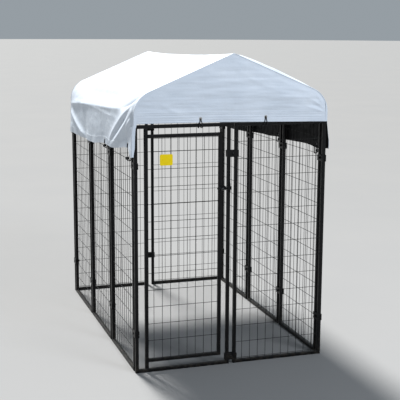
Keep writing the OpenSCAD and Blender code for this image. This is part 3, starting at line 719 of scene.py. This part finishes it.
# Long folds of the side flaps: (distance behind the front face, height, strength)
FOLDS = {
    -1: [
        (12.0, 27, [(-10, 1596, 0.1), (75, 1560, 0.7), (225, 1499, 1), (385, 1419, 1), (500, 1352, 0.9), (605, 1293, 0.2)]),
        (15.0, 27, [(-25, 1556, 0.2), (55, 1512, 0.8), (155, 1455, 1), (290, 1383, 1), (412, 1326, 0.8), (540, 1284, 0.2)]),
        (-11.0, 13, [(50, 1556, 0.2), (158, 1504, 1), (295, 1436, 1), (415, 1375, 0.9), (535, 1315, 0.3)]),
        (7.0, 55, [(30, 1345, 0.2), (110, 1322, 1), (230, 1296, 0.9), (340, 1280, 0.2)]),
        (5.0, 8, [(45, 1548, 0.1), (75, 1533, 1), (135, 1506, 0.8), (180, 1486, 0.1)]),
        (12.0, 15, [(12, 1497, 0.3), (43, 1481, 1), (97, 1450, 0.9), (160, 1414, 0.1)]),
        (8.0, 13, [(10, 1450, 0.2), (34, 1436, 1), (80, 1408, 0.8), (115, 1388, 0.1)]),
        (7.0, 16, [(280, 1530, 0.1), (405, 1522, 0.7), (660, 1506, 1), (990, 1490, 1), (1230, 1479, 1), (1455, 1464, 1)]),
        (11.0, 18, [(1300, 1474, 0.1), (1455, 1464, 0.4), (1600, 1453, 0.9), (1755, 1441, 1), (1850, 1434, 0.3)]),
        (17.0, 19, [(1850, 1386, 0.1), (1793, 1367, 0.8), (1660, 1328, 1), (1531, 1292, 1), (1420, 1264, 0.8), (1330, 1243, 0.2)]),
    ],
    1: [
        (12.0, 30, [(-5, 1590, 0.1), (60, 1560, 0.6), (210, 1500, 1), (380, 1425, 1), (560, 1350, 0.8), (720, 1296, 0.2)]),
        (8.0, 22, [(0, 1530, 0.1), (50, 1490, 0.8), (200, 1420, 1), (420, 1350, 0.8), (690, 1288, 0.2)]),
        (-7.0, 26, [(40, 1530, 0.2), (200, 1462, 1), (400, 1386, 1), (640, 1308, 0.2)]),
        (12.0, 36, [(1850, 1450, 0.2), (1740, 1412, 0.9), (1580, 1352, 1), (1440, 1300, 0.8), (1350, 1270, 0.2)]),
        (6.0, 24, [(960, 1470, 0.1), (1090, 1410, 0.9), (1220, 1330, 1), (1330, 1270, 0.2)]),
        (5.0, 18, [(760, 1316, 0.2), (850, 1392, 1), (960, 1460, 0.3)]),
    ],
}
CLAMP_Y = [1242.6, 1847.4]


def roof_disp(side, q, y):
    """How far the sheet stands out of its even shape, along its normal."""
    q, y = np.broadcast_arrays(np.asarray(q, float), np.asarray(y, float))
    w = BEND_Z - drop(y) + (LS + LB - q)
    yy = y - Y0
    ends = smooth(0, 48, y - YF) * smooth(0, 48, YR - y)
    midspan = np.clip(1 - np.abs(2 * (y - 15.7) / 1860.4) ** 2.6, 0, 1)
    # the sheet hangs a little between the hoops and the ridge pole
    # and comes to rest on the walls' top rails
    d = -12.0 * np.sin(np.pi * np.clip(q / LS, 0, 1)) * midspan
    d += -34.0 * np.exp(-(((q - LS - 0.4 * LB) / 76.0) ** 2)) * midspan
    d += -15.0 * np.exp(-((q / 60.0) ** 2)) * midspan
    rail = -0.2 - 45.0 * smooth(1462, 1560, w)
    d = 0.5 * (d + rail + np.sqrt((d - rail) ** 2 + 1.5 * smooth(1462, 1480, w)))
    seed = 5 if side < 0 else 9
    on_slope = 1 - smooth(LS - 20, LS + LB, q)
    d += on_slope * (2.6 * noise2(q / 170.0, yy / 260.0, seed) + 1.1 * noise2(q / 60.0, yy / 95.0, seed + 1))
    d += on_slope * 3.0 * crease(yy, q, [(20, 520, 0.1), (160, 400, 1), (330, 250, 0.6), (480, 90, 0.1)], 26)
    d += on_slope * 3.0 * crease(yy, q, [(1860, 510, 0.1), (1700, 380, 1), (1500, 230, 0.6), (1360, 80, 0.1)], 28)
    # the seam's allowance lifts the sheet just behind the front edge
    rim = smooth(0, 34, y - YF) * smooth(300, 40, y - YF) * smooth(10, 60, q) * smooth(LS + LB, LS + 0.5 * LB, q)
    full = np.sin(np.pi * np.clip(q / LS, 0, 1))
    d += (8.0 + 13.0 * full if side > 0 else 3.0) * rim
    if side < 0:
        # tuck drawn in behind the front hoop where the slope turns down
        d += -14.0 * crease(yy, q, [(52, LS - 120, 0.1), (70, LS - 20, 0.6), (85, LS + 38, 1), (110, LS + 70, 1), (175, LS + 100, 1), (265, LS + 130, 0.8), (385, LS + 152, 0.2)], 21)
    flap = smooth(LS + 0.25 * LB, LS + LB + 10, q)
    hem = HEM[side](yy)
    low = smooth(1500, 1320, w)
    belly = np.interp(yy, [-3, 60, 132, 280, 430, 600, 737, 900, 1080, 1242, 1342, 1480, 1680, 1884],
                      [6, 4, 0, 5, 8, 5, 0, 6, 8, 6, 0, 4, 5, 5])
    d += flap * low * belly
    f = np.zeros(q.shape)
    for amp, width, line in FOLDS[side]:
        f += amp * crease(yy, w, line, width)
    d += f * smooth(LS + 0.05 * LB, LS + 0.7 * LB, q)
    d += flap * (1.5 * noise2(yy / 90.0, w / 60.0, seed + 2) + 0.7 * noise2(yy / 34.0, w / 26.0, seed + 3))
    # lower edge flutters between the ties
    d += 2.2 * np.sin(yy / 37.0 + 1.2 * np.sin(yy / 90.0)) * smooth(70, 0, w - hem)
    d = d * np.where(w > 1452, ends, 1.0)
    if side < 0:
        d += 8.0 * np.exp(-((yy / 45.0) ** 2)) * smooth(1500, 1420, w)
    else:
        d += 11.0 * np.exp(-((yy / 75.0) ** 2)) * smooth(1462, 1300, w)
    for yc in CLAMP_Y:
        over = np.exp(-(((yy - yc) / 62.0) ** 4)) * smooth(1345, 1262, w)
        d = np.where(over > 0.02, np.maximum(d, 9.5 * over), d)
    for yt, zt in zip(SIDE_TIES, SIDE_EYES[side]):
        r = np.hypot(yy - yt, w - zt)
        d = d * (1 - np.exp(-((r / 30.0) ** 2)))
    # never inside the wall panels
    return np.maximum(d, 0.9 - 61.0 * smooth(1463, 1500, w))


def roof_at(side, q, y):
    q, y = np.broadcast_arrays(np.asarray(q, float), np.asarray(y, float))
    x_s = q * math.cos(SLOPE)
    z_s = APEX - math.tan(SLOPE) * np.sqrt(x_s**2 + 25.0)
    a = TURN * np.clip(1 - (q - LS) / LB, 0, 1)
    x_b, z_b = BCX + RM * np.cos(a), BEND_Z + RM * np.sin(a)
    z_f = BEND_Z - (q - LS - LB)
    x = np.where(q <= LS, x_s, x_b)
    z = np.where(q <= LS, z_s, np.where(q <= LS + LB, z_b, z_f))
    ang = np.where(q <= LS, TURN, a)
    d = roof_disp(side, q, y)
    k = np.where(q <= LS, np.clip(q / 30.0, 0, 1), 1.0)  # straight down on the ridge
    nx, nz = np.cos(ang) * k, np.sqrt(1 - (np.cos(ang) * k) ** 2)
    return np.stack([side * (x + nx * d), y, z - drop(y) + nz * d], -1)


def hem_q(side, y):
    return LS + LB + BEND_Z - drop(y) - HEM[side](np.asarray(y, float) - Y0)


def normals_of(p, flip=1.0):
    a, b = np.gradient(p, axis=0), np.gradient(p, axis=1)
    n = np.cross(a, b) * flip
    return n / np.maximum(np.linalg.norm(n, axis=2), 1e-9)[..., None]


def sheet(geo, p, weave, holes=(), thick=THICK, outer=0, inner=1, swell=None):
    """Closed thin sheet from a grid of points; holes lists cells left open."""
    a, b = p.shape[:2]
    n = normals_of(p)
    up = 0.5 * thick if swell is None else 0.5 * thick + swell[..., None]
    top, under = p + n * up, p - n * 0.5 * thick
    keep = np.ones((a - 1, b - 1), bool)
    for i, j in holes:
        keep[i, j] = False
    ii, jj = np.nonzero(keep)
    q = np.stack([ii * b + jj, (ii + 1) * b + jj, (ii + 1) * b + jj + 1, ii * b + jj + 1], 1)
    edges = np.concatenate([q[:, [0, 1]], q[:, [1, 2]], q[:, [2, 3]], q[:, [3, 0]]])
    seen = {(s, t) for s, t in edges.tolist()}
    rim = np.array([(s, t) for s, t in edges.tolist() if (t, s) not in seen])
    k = a * b
    # vertices that no face uses are left out
    used = np.zeros(2 * k, bool)
    used[q.ravel()] = True
    used[q.ravel() + k] = True
    new = np.cumsum(used) - 1
    verts = np.vstack([top.reshape(-1, 3), under.reshape(-1, 3)])[used]
    wv = np.vstack([weave.reshape(-1, 3), weave.reshape(-1, 3)])[used]
    base = geo.n
    geo.add(verts, [new[q]], outer, weave=wv)
    geo.faces.append((new[q[:, ::-1] + k] + base, inner))
    geo.faces.append((new[np.stack([rim[:, 1], rim[:, 0], rim[:, 0] + k, rim[:, 1] + k], 1)] + base, outer))


def stitches(geo, pts, nrm, mat, pitch=6.6, length=4.4, width=1.0, rise=0.55):
    """A row of thread stitches on a line of surface points."""
    pts, nrm = np.asarray(pts, float), np.asarray(nrm, float)
    s = np.concatenate([[0], np.cumsum(np.linalg.norm(np.diff(pts, axis=0), axis=1))])
    mids = np.arange(pitch, s[-1] - pitch / 2, pitch)
    at = lambda t, arr: np.stack([np.interp(t, s, arr[:, k]) for k in range(3)], 1)
    a, c, b = at(mids - length / 2, pts), at(mids, pts), at(mids + length / 2, pts)
    n = at(mids, nrm)
    n /= np.linalg.norm(n, axis=1)[:, None]
    t = (b - a) / np.linalg.norm(b - a, axis=1)[:, None]
    sd = np.cross(n, t)
    prof = [(-0.5, -0.3), (-0.32, 0.75), (0.32, 0.75), (0.5, -0.3)]
    rows = [(-0.5, 0.5, 0.15), (-0.28, 1.0, 1.0), (0.28, 1.0, 1.0), (0.5, 0.5, 0.15)]
    verts = []
    for along, wide, high in rows:
        for px, pz in prof:
            h = pz * rise * (high if pz > 0 else 1)
            verts.append(c + t * (along * length) + sd * (px * width * wide) + n * h)
    v = np.stack(verts, 1)  # stitch, 16, 3
    quads = []
    for r in range(3):
        for k in range(4):
            k2 = (k + 1) % 4
            quads.append((r * 4 + k, r * 4 + k2, (r + 1) * 4 + k2, (r + 1) * 4 + k))
    quads.append((3, 2, 1, 0))
    quads.append((12, 13, 14, 15))
    quads = np.array(quads)[:, ::-1]
    off = (np.arange(len(v)) * 16)[:, None, None]
    geo.add(v.reshape(-1, 3), [(quads[None] + off).reshape(-1, 4)], mat)


def on_roof(side, q, y, out=0.0):
    """Points and outward normals on the roof sheet."""
    q, y = np.broadcast_arrays(np.asarray(q, float), np.asarray(y, float))
    p = roof_at(side, q, y)
    a = roof_at(side, q + 1.0, y) - roof_at(side, q - 1.0, y)
    b = roof_at(side, q, y + 1.0) - roof_at(side, q, y - 1.0)
    n = np.cross(a, b) * side
    n /= np.linalg.norm(n, axis=1)[:, None]
    return p + n * out, n


# ------------------------------------------------------------------ cover: roof and side flaps
ys = np.arange(YF, YR + 0.1, (YR - YF) / 214)
# closer rows where the front corners are pleated
fine = np.arange(YF, YF + 240.0, (YR - YF) / 642)
ys = np.unique(np.round(np.concatenate([ys, fine[fine > YF + 5.0]]), 4))
for t in SIDE_TIES:
    yt = Y0 + t
    ys = np.concatenate([ys[np.abs(ys - yt) > 9.5], yt + np.array([-6.3, -2.6, 2.6, 6.3])])
ys = np.sort(np.concatenate([ys, [YF + 1.2, YF + 3.5, YR - 1.2, YR - 3.5]]))
q_slope = np.concatenate([[0, 3, 7, 12, 19, 28, 40], np.linspace(55, LS, 38)])
q_bend = LS + np.linspace(0, LB, 40)[1:]
fracs = np.linspace(0, 1, 48)[1:]
band = np.array([44.0, 42.6, 41.4, 39.0, 35.0, 31.3, 27.6, 22.4, 18.7, 14.0, 9.0, 5.0, 2.2, 0.8, 0.0])
BAND_TOP = 46.0


def half(side):
    cols = [np.full(len(ys), q) for q in np.concatenate([q_slope, q_bend])]
    qh = hem_q(side, ys)
    cols += [LS + LB + f * (qh - BAND_TOP - LS - LB) for f in fracs]
    cols += [qh - b for b in band]
    return np.array(cols)


q_left, q_right = half(-1), half(1)
n_half = len(q_left)
P = np.concatenate(
    [roof_at(-1, q_left, ys[None, :])[::-1], roof_at(1, q_right, ys[None, :])[1:]]
)
S = np.concatenate([-q_left[::-1], q_right[1:]])
WEAVE = np.stack([S * 0.001, np.broadcast_to(ys * 0.001, S.shape), 0 * S], -1)
first_band = len(q_slope) + len(q_bend) + len(fracs)
dist = np.full(n_half, 99.0)
dist[first_band:] = band
dist = np.concatenate([dist[::-1], dist[1:]])
SWELL = np.broadcast_to(np.where(dist <= 42.6, 0.7, 0.0)[:, None], S.shape).copy()
holes = []
for n, t in enumerate(SIDE_TIES):
    j = int(np.argmin(np.abs(ys - (Y0 + t - 6.3))))
    for side in (-1, 1):
        z = SIDE_EYES[side][n]
        k = first_band + int(np.argmin(np.abs(band - 31.3)))
        rows = [n_half - 1 - (k + r) if side < 0 else n_half - 1 + (k + r) for r in range(4)]
        for r, dz in zip(rows, (6.3, 2.6, -2.6, -6.3)):
            for c, dy in enumerate((-6.3, -2.6, 2.6, 6.3)):
                inner = abs(dz) < 3 and abs(dy) < 3
                P[r, j + c, 1] = Y0 + t + (math.copysign(4.55, dy) if inner else dy)
                P[r, j + c, 2] = z + (math.copysign(4.55, dz) if inner else dz)
                P[r, j + c, 0] = side * (LEG_X + D)
        lo = min(rows)
        holes += [(lo + 1, j + 1), (lo, j + 1), (lo + 2, j + 1), (lo + 1, j), (lo + 1, j + 2)]
g = Geo()
sheet(g, P, WEAVE, holes, swell=SWELL)


def corner_strip(side, y, front, z_lo, z_hi, width):
    """Narrow facing that turns round a corner from the side flap on to the end."""
    sgn = -1.0 if front else 1.0
    zz = np.linspace(z_lo, z_hi, 30)
    q = LS + LB + BEND_Z - drop(y) - zz
    edge = roof_at(side, q, np.full(len(zz), y))
    wide = width * (0.55 + 0.45 * smooth(z_lo, z_lo + 60, zz)) * (1 - 0.75 * smooth(z_hi - 70, z_hi, zz))
    r = 2.6
    cols = []
    for ang in np.linspace(0, math.pi / 2, 6):
        cols.append(edge + np.stack([side * (math.cos(ang) - 1) * r + 0 * zz, sgn * math.sin(ang) * r + 0 * zz, 0 * zz], 1))
    for t in (0.15, 0.4, 0.7, 1.0):
        w = 0.8 * np.sin(zz / 19.0 + 2 * t)
        cols.append(edge + np.stack([-side * (r + t * wide), sgn * (r + 0.35 * w), 0 * zz], 1))
    grid = np.array(cols)
    if (side > 0) == front:
        grid = grid[::-1]
    wv = np.stack([grid[..., 0] * 0.001, grid[..., 2] * 0.001, 0 * grid[..., 0]], -1)
    sheet(g, grid, wv, thick=0.9)


corner_strip(-1, YF, True, 1281.0, 1560.0, 17.0)
corner_strip(1, YF, True, 1456.0, 1560.0, 12.0)
corner_strip(-1, YR, False, 1240.0, 1500.0, 15.0)
corner_strip(1, YR, False, 1244.0, 1500.0, 15.0)
for side in (-1, 1):
    line_y = np.linspace(YF + 4, YR - 4, 700)
    for off in (5.0, 40.2):
        p, n = on_roof(side, hem_q(side, line_y) - off, line_y, 0.5 * THICK + 0.7)
        stitches(g, p, n, 2)
    for y in (YF + 8.0, YR - 8.0):
        q = np.linspace(2.0, float(hem_q(side, y)) - 48, 500)
        p, n = on_roof(side, q, np.full(500, y), 0.5 * THICK)
        stitches(g, p, n, 2)
roof_sheet = g.make("cover_roof_sheet", [M_COVER, M_LINING, M_THREAD], "kennel", "cover", angle=60)
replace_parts(roof_sheet, "cover_roof")

# ------------------------------------------------------------------ cover: end pieces
prof = np.array([(BCX + RM * math.cos(a), BEND_Z + RM * math.sin(a)) for a in TURN * np.linspace(0, 1, 27)])
top_x = np.concatenate([prof[:, 0], np.linspace(SX, 0, 46)[1:]])


def profile_z(x, d=D):
    """Height of the cover's outline above a place across the run, at the front."""
    x = np.abs(np.asarray(x, float))
    rm = BEND_R + d
    sx = BCX + rm * math.cos(TURN)
    apex = BEND_Z + rm * math.sin(TURN) + sx * math.tan(SLOPE)
    bend = BEND_Z + np.sqrt(np.clip(rm**2 - np.clip(x - BCX, 0, rm) ** 2, 0, None))
    return np.where(x < sx, apex - math.tan(SLOPE) * np.sqrt(x**2 + 25.0), bend)


END_HEM_X = [-593.4, -300, -65, 200, 438, 593.4]
END_HEM_Z = {True: [1468, 1467, 1465, 1460, 1455, 1452], False: [1452, 1453, 1455, 1455, 1454, 1452]}
HEM_ROWS = (12.0, 25.0, 42.0, 54.0)


def end_disp(x, z, zt, hem, seed, front):
    """How far an end piece stands out of its flat shape."""
    x, z = np.broadcast_arrays(np.asarray(x, float), np.asarray(z, float))
    near = np.minimum(smooth(0, 42, zt - z), smooth(0, 60, 593.4 - np.abs(x)))
    d = 1.5 + 3.5 * np.sin(np.pi * np.clip((z - hem) / (zt - hem + 1), 0, 1)) * smooth(600, 300, np.abs(x))
    d += 4.2 * noise2(x / 250.0, z / 29.0, seed) + 1.7 * noise2(x / 110.0 + 0.15 * z / 30.0, z / 14.0, seed + 1)
    d += 5.5 * noise2(x / 330.0, z / 110.0, seed + 2)
    lines = [
        (4.5, 9, [(588, 1500, 0.2), (576, 1507, 1), (494, 1535, 0.8), (410, 1556, 0.1)]),
        (4.5, 9, [(584, 1520, 0.2), (568, 1534, 1), (510, 1572, 0.8), (450, 1600, 0.1)]),
        (4.0, 9, [(576, 1540, 0.2), (562, 1554, 1), (533, 1600, 0.7), (500, 1640, 0.1)]),
        (-2.5, 10, [(584, 1510, 0.2), (560, 1524, 1), (500, 1553, 0.8), (440, 1574, 0.1)]),
        (3.0, 10, [(-440, 1574, 0.2), (-415, 1562, 1), (-374, 1541, 1), (-331, 1520, 0.8), (-284, 1508, 0.1)]),
        (10.0, 60, [(0, 1570, 0.2), (60, 1600, 0.8), (209, 1640, 1), (340, 1610, 0.9), (440, 1570, 0.3)]),
        (2.4, 14, [(-560, 1508, 0.1), (-420, 1560, 0.5), (-240, 1612, 1), (-60, 1640, 0.5), (120, 1650, 0.1)]),
        (2.2, 15, [(-30, 1800, 0.2), (90, 1720, 0.8), (220, 1660, 1), (380, 1610, 0.5), (520, 1570, 0.1)]),
        (2.0, 12, [(200, 1512, 0.4), (260, 1560, 0.9), (330, 1590, 0.3)]),
        (1.8, 12, [(-200, 1512, 0.4), (-250, 1556, 0.9), (-330, 1590, 0.3)]),
    ]
    for amp, width, line in lines:
        if not front:
            line = [(-a, b - 40, s) for a, b, s in line]
        d += amp * crease(x, z, line, width)
    # the hem is quilted: soft channels between its rows of stitching
    up = z - hem
    soft = smooth(0, 4, up) * smooth(66, 57, up)
    for row in HEM_ROWS:
        soft = soft * (1 - 0.95 * np.exp(-(((up - row) / 2.6) ** 2)))
    d = d * (1 - 0.7 * smooth(66, 40, up)) + 2.0 * soft
    d *= near
    d += 1.6 * np.sin(x / 74.0 + seed) * smooth(46, 0, up)
    for xt in END_TIES:
        r = np.hypot(x - xt, z - END_EYE)
        d = d * (1 - np.exp(-((r / 26.0) ** 2)))
    return np.maximum(d, np.where(z < 1468, -0.1, -2.5))


def end_piece(front):
    y = Y0 - 2.25 if front else Y1 + 2.25
    fall = float(drop(y))
    sgn = -1.0 if front else 1.0
    seed = 31 if front else 47
    xs = np.concatenate([-top_x, top_x[:-1]])
    for t in END_TIES:
        xs = np.concatenate([xs[np.abs(xs - t) > 9.5], t + np.array([-6.3, -2.6, 2.6, 6.3])])
    xs = np.sort(xs)
    zt = profile_z(xs) - fall
    hem = np.interp(xs, END_HEM_X, END_HEM_Z[front])
    lower = np.array([0, 0.02, 0.06, 0.15, 0.28, 0.42, 0.58, 0.75, 0.9, 1.0])
    fixed = np.array([1482.7, 1486.4, 1491.6, 1495.3, 1499.5, 1502.0, 1504.5])
    upper = np.linspace(0, 1, 86)[1:]
    ztc = np.maximum(zt, 1510.0)
    rows = [hem + f * (1480.0 - hem) for f in lower] + [np.full(len(xs), z) for z in fixed]
    rows += [1504.5 + f * (ztc - 1504.5) for f in upper]
    Z = np.array(rows).T  # across, up
    k = np.where(zt < 1510.0, (zt - hem) / (1510.0 - hem), 1.0)
    Z = hem[:, None] + (Z - hem[:, None]) * k[:, None]
    X = np.broadcast_to(xs[:, None], Z.shape).copy()
    dd = end_disp(X, Z, zt[:, None], hem[:, None], seed, front)
    p = np.stack([X, y + sgn * dd, Z], -1)
    cells = []
    r0 = len(lower)
    for t in END_TIES:
        i0 = int(np.argmin(np.abs(xs - (t - 6.3))))
        for a, dx in enumerate((-6.3, -2.6, 2.6, 6.3)):
            for b, dz in enumerate((-6.3, -2.6, 2.6, 6.3)):
                if abs(dx) < 3 and abs(dz) < 3:
                    p[i0 + a, r0 + b, 0] = t + math.copysign(4.55, dx)
                    p[i0 + a, r0 + b, 2] = END_EYE + math.copysign(4.55, dz)
                p[i0 + a, r0 + b, 1] = y
        cells += [(i0 + 1, r0 + 1), (i0, r0 + 1), (i0 + 2, r0 + 1), (i0 + 1, r0), (i0 + 1, r0 + 2)]
    swell = 0.6 * smooth(58, 55, Z - hem[:, None]) * (k[:, None] > 0.98)
    wv = np.stack([X * 0.001, Z * 0.001, 0 * X], -1)
    if not front:
        n = len(xs)
        p, wv, swell = p[::-1], wv[::-1], swell[::-1]
        cells = [(n - 2 - i, j) for i, j in cells]
    g = Geo()
    sheet(g, p, wv, cells, swell=swell)
    # rows of stitching over the hem and inside the edge seam
    lx = np.linspace(-575, 575, 600)
    lz = np.interp(lx, xs, hem)
    lt = profile_z(lx) - fall
    face = np.tile(np.array([0, sgn, 0]), (len(lx), 1))
    for z_line in [lz + row for row in HEM_ROWS]:
        ok = z_line < lt - 6
        yy = y + sgn * (end_disp(lx, z_line, lt, lz, seed, front) + 0.5 * THICK + 0.6)
        q = np.stack([lx, yy, z_line], 1)[ok]
        stitches(g, q, face[ok], 2)
    for dd_in in (4.6,):
        a = TURN * np.linspace(0, 1, 60)
        rm = BEND_R + dd_in
        px = np.concatenate([BCX + rm * np.cos(a), np.linspace(BCX + rm * math.cos(TURN), 3, 160)[1:]])
        pz = profile_z(px, dd_in) - fall
        for side in (-1, 1):
            x = side * px
            zt_l = profile_z(x) - fall
            h_l = np.interp(x, xs, hem)
            yy = y + sgn * (end_disp(x, pz, zt_l, h_l, seed, front) + 0.5 * THICK)
            stitches(g, np.stack([x, yy, pz], 1), np.tile(np.array([0, sgn, 0]), (len(x), 1)), 2)
    # welt along the edge where the end is sewn to the roof
    side_z = np.linspace(float(np.interp(593, xs, hem)), BEND_Z - fall, 8)[:-1]
    left = [(-593.4, z) for z in np.linspace(float(hem[0]), BEND_Z - fall, 8)[:-1]]
    arc = [(x, z - fall) for x, z in prof]
    slope_pts = [(x, float(profile_z(x)) - fall) for x in np.linspace(SX, 0, 40)[1:]]
    left += [(-x, z) for x, z in arc + slope_pts]
    right = [(593.4, z) for z in side_z] + arc + slope_pts
    path = np.array(left + right[::-1][1:])
    pts = np.stack([path[:, 0], np.full(len(path), y + sgn * 0.7), path[:, 1]], 1)
    v, f = sweep(pts, 2.0, 8)
    g.add(v, f, 0, weave=np.stack([v[:, 0] * 0.001, v[:, 2] * 0.001, 0 * v[:, 0]], 1))
    name = "cover_end_sheet_front" if front else "cover_end_sheet_rear"
    o = g.make(name, [M_COVER, M_LINING, M_THREAD], "kennel", "cover", angle=60)
    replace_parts(o, "cover_end_front" if front else "cover_end_rear")
    return o


front_sheet = end_piece(True)
rear_sheet = end_piece(False)

# ------------------------------------------------------------------ ties
def cord_piece(geo, pts, r, n=70):
    p = spline(pts, n)
    v, f = sweep(p, r, 10)
    s = np.concatenate([[0], np.cumsum(np.linalg.norm(np.diff(p, axis=0), axis=1))])
    a = np.arange(10) * 2 * np.pi / 10
    wv = np.stack([np.repeat(s, 10) * 0.001, np.tile(a, n) * r * 0.001, np.zeros(n * 10)], 1)
    geo.add(v, f, 0, weave=wv)


g = Geo()
for x in END_TIES:
    for y, s in ((Y0, 1.0), (Y1, -1.0)):
        for e in (-1, 1):
            route = [
                (2.0, 24, 1473), (2.2, 23, 1481), (2.3, 12, 1488), (2.3, -2.2, 1489.4), (2.6, -5.6, 1486), (4.0, -7.2, 1476),
                (7.0, -7.6, 1462), (9.6, -7.0, 1447), (10.4, -4.4, 1438.2), (10.0, 3, 1435.6), (8.6, 14, 1435.6),
                (7.0, 21.4, 1438.4), (4.6, 24, 1446), (2.4, 24, 1458), (2.0, 24, 1466),
            ]
            cord_piece(g, [(x + e * a, y + s * b, c) for a, b, c in route], 2.2)
zw, zb = SIDE_WIRE, SIDE_WIRE + 11
for s in (-1, 1):
    for yt, ze in zip(SIDE_TIES, SIDE_EYES[s]):
        x = s * 591.8
        for e in (-1, 1):
            route = [
                (1.6, 6.3, zb + 4), (2.0, 6.4, zb + 14), (2.3, 6.6, 0.5 * (zb + ze)), (2.3, 6.3, ze - 12), (2.3, 4.6, ze - 3.5),
                (2.3, 1.5, ze + 0.2), (2.3, -6, ze - 0.6), (2.3, -11.6, ze - 5), (2.3, -13.4, ze - 16),
                (2.4, -13.4, 0.5 * (ze + zw)), (2.4, -13.4, zw + 5), (2.4, -12.4, zw - 2.6), (2.4, -8.6, zw - 4.6),
                (2.2, -2.0, zw - 4.2), (2.0, 4.0, zw - 1.6), (1.6, 6.3, zw + 4), (1.5, 6.3, zb - 2),
            ]
            cord_piece(g, [(x + s * b, Y0 + yt + e * a, c) for a, b, c in route], 2.15, 90)
ties = g.make("tie_cords", [M_CORD], "kennel", "elastic_cord")
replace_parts(ties, "cover_tie_cords")


def tie_ball(geo, c):
    """Moulded ball: slightly flattened ends, a parting line and a mouth for the cord."""
    zs, rs = [], []
    for t in np.linspace(-1, 1, 25):
        a = t * math.radians(76)
        z, r = 11 * math.sin(a), 11 * math.cos(a)
        if abs(t) < 0.03:
            r += 0.25
        zs.append(z)
        rs.append(r)
    prof = [(2.7, zs[0] + 2.5), (2.75, zs[0] + 0.5)] + list(zip(rs, zs)) + [(2.75, zs[-1] - 0.5), (2.7, zs[-1] - 2.5)]
    n = 28
    ang = np.arange(n) * 2 * np.pi / n
    v = np.array([(c[0] + r * math.cos(a), c[1] + r * math.sin(a), c[2] + z) for r, z in prof for a in ang])
    i = np.arange(n)
    j = (i + 1) % n
    rows = [np.stack([k * n + i, k * n + j, (k + 1) * n + j, (k + 1) * n + i], 1) for k in range(len(prof) - 1)]
    geo.add(v, [np.concatenate(rows), i[::-1][None], (i + (len(prof) - 1) * n)[None]])


g = Geo()
for x in END_TIES:
    tie_ball(g, (x, Y0 + 24, 1471.2))
    tie_ball(g, (x, Y1 - 24, 1471.2))
for yt in SIDE_TIES:
    for s in (-1, 1):
        tie_ball(g, (s * 598.1, Y0 + yt, SIDE_WIRE + 11))
balls = g.make("tie_balls", [M_KNOB], "kennel", "knob_plastic", angle=50)
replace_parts(balls, "cover_tie_balls")

# ------------------------------------------------------------------ width of the cloth laid flat
even = np.linspace(YF, YR, 215)
flat_w = 0.001 * (hem_q(-1, even).mean() + hem_q(1, even).mean())

# ------------------------------------------------------------------ floor, light and camera
m, nt, b = new_mat("pale_floor")
c = coords(nt)
put(nt, b.inputs["Base Color"], mix(nt, noise(nt, c, 0.8, 4), rgb(0.215, 0.218, 0.222), rgb(0.235, 0.235, 0.235)))
b.inputs["Roughness"].default_value = 0.85
b.inputs["Specular IOR Level"].default_value = 0.2
me = bpy.data.meshes.new("floor")
R = 90.0
ring = [(R * math.cos(2 * math.pi * k / 64), R * math.sin(2 * math.pi * k / 64), -0.0005) for k in range(64)]
me.from_pydata(ring, [], [tuple(range(64))])
me.materials.append(m)
floor = bpy.data.objects.new("floor", me)
bpy.context.scene.collection.objects.link(floor)
floor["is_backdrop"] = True

world = bpy.data.worlds.new("studio")
world.use_nodes = True
bg = world.node_tree.nodes["Background"]
bg.inputs["Color"].default_value = (0.82, 0.92, 1.0, 1.0)
bg.inputs["Strength"].default_value = 0.37
bpy.context.scene.world = world


def area_light(name, loc, target, size, power, color=(1, 1, 1)):
    d = bpy.data.lights.new(name, "AREA")
    d.shape = "DISK"
    d.size = size
    d.energy = power
    d.color = color
    o = bpy.data.objects.new(name, d)
    o.location = loc
    o.rotation_euler = (Vector(target) - Vector(loc)).to_track_quat("-Z", "Y").to_euler()
    o.visible_camera = False
    bpy.context.scene.collection.objects.link(o)


sun = bpy.data.lights.new("key", "SUN")
sun.energy = 8.4
sun.angle = math.radians(11)
sun.color = (1.0, 0.985, 0.955)
key = bpy.data.objects.new("key", sun)
key.location = (-0.75, 5.7, 8.1)
key.rotation_euler = Vector((0.75, -5.7, -8.1)).to_track_quat("-Z", "Y").to_euler()
bpy.context.scene.collection.objects.link(key)
area_light("fill", (3.2, -6.4, 5.6), (0, 0, 1.2), 3.0, 352.0, (0.92, 0.965, 1.03))

yaw, pitch, roll = (math.radians(a) for a in (18.06163, 10.56538, 0.25685))
fwd = Vector((math.sin(yaw) * math.cos(pitch), math.cos(yaw) * math.cos(pitch), -math.sin(pitch)))
right = Vector((math.cos(yaw), -math.sin(yaw), 0))
up = right.cross(fwd)
r2 = right * math.cos(roll) + up * math.sin(roll)
u2 = -right * math.sin(roll) + up * math.cos(roll)
cam_data = bpy.data.cameras.new("camera")
cam_data.sensor_width = 36.0
cam_data.lens = 975.137 / 400 * 36.0
cam_data.clip_end = 300.0
cam = bpy.data.objects.new("camera", cam_data)
rot = Matrix((r2, u2, -fwd)).transposed().to_4x4()
cam.matrix_world = Matrix.Translation((-1.9247, -6.2128, 2.0532)) @ rot
bpy.context.scene.collection.objects.link(cam)
bpy.context.scene.camera = cam
bpy.context.scene.view_settings.view_transform = "Standard"

lo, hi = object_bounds()
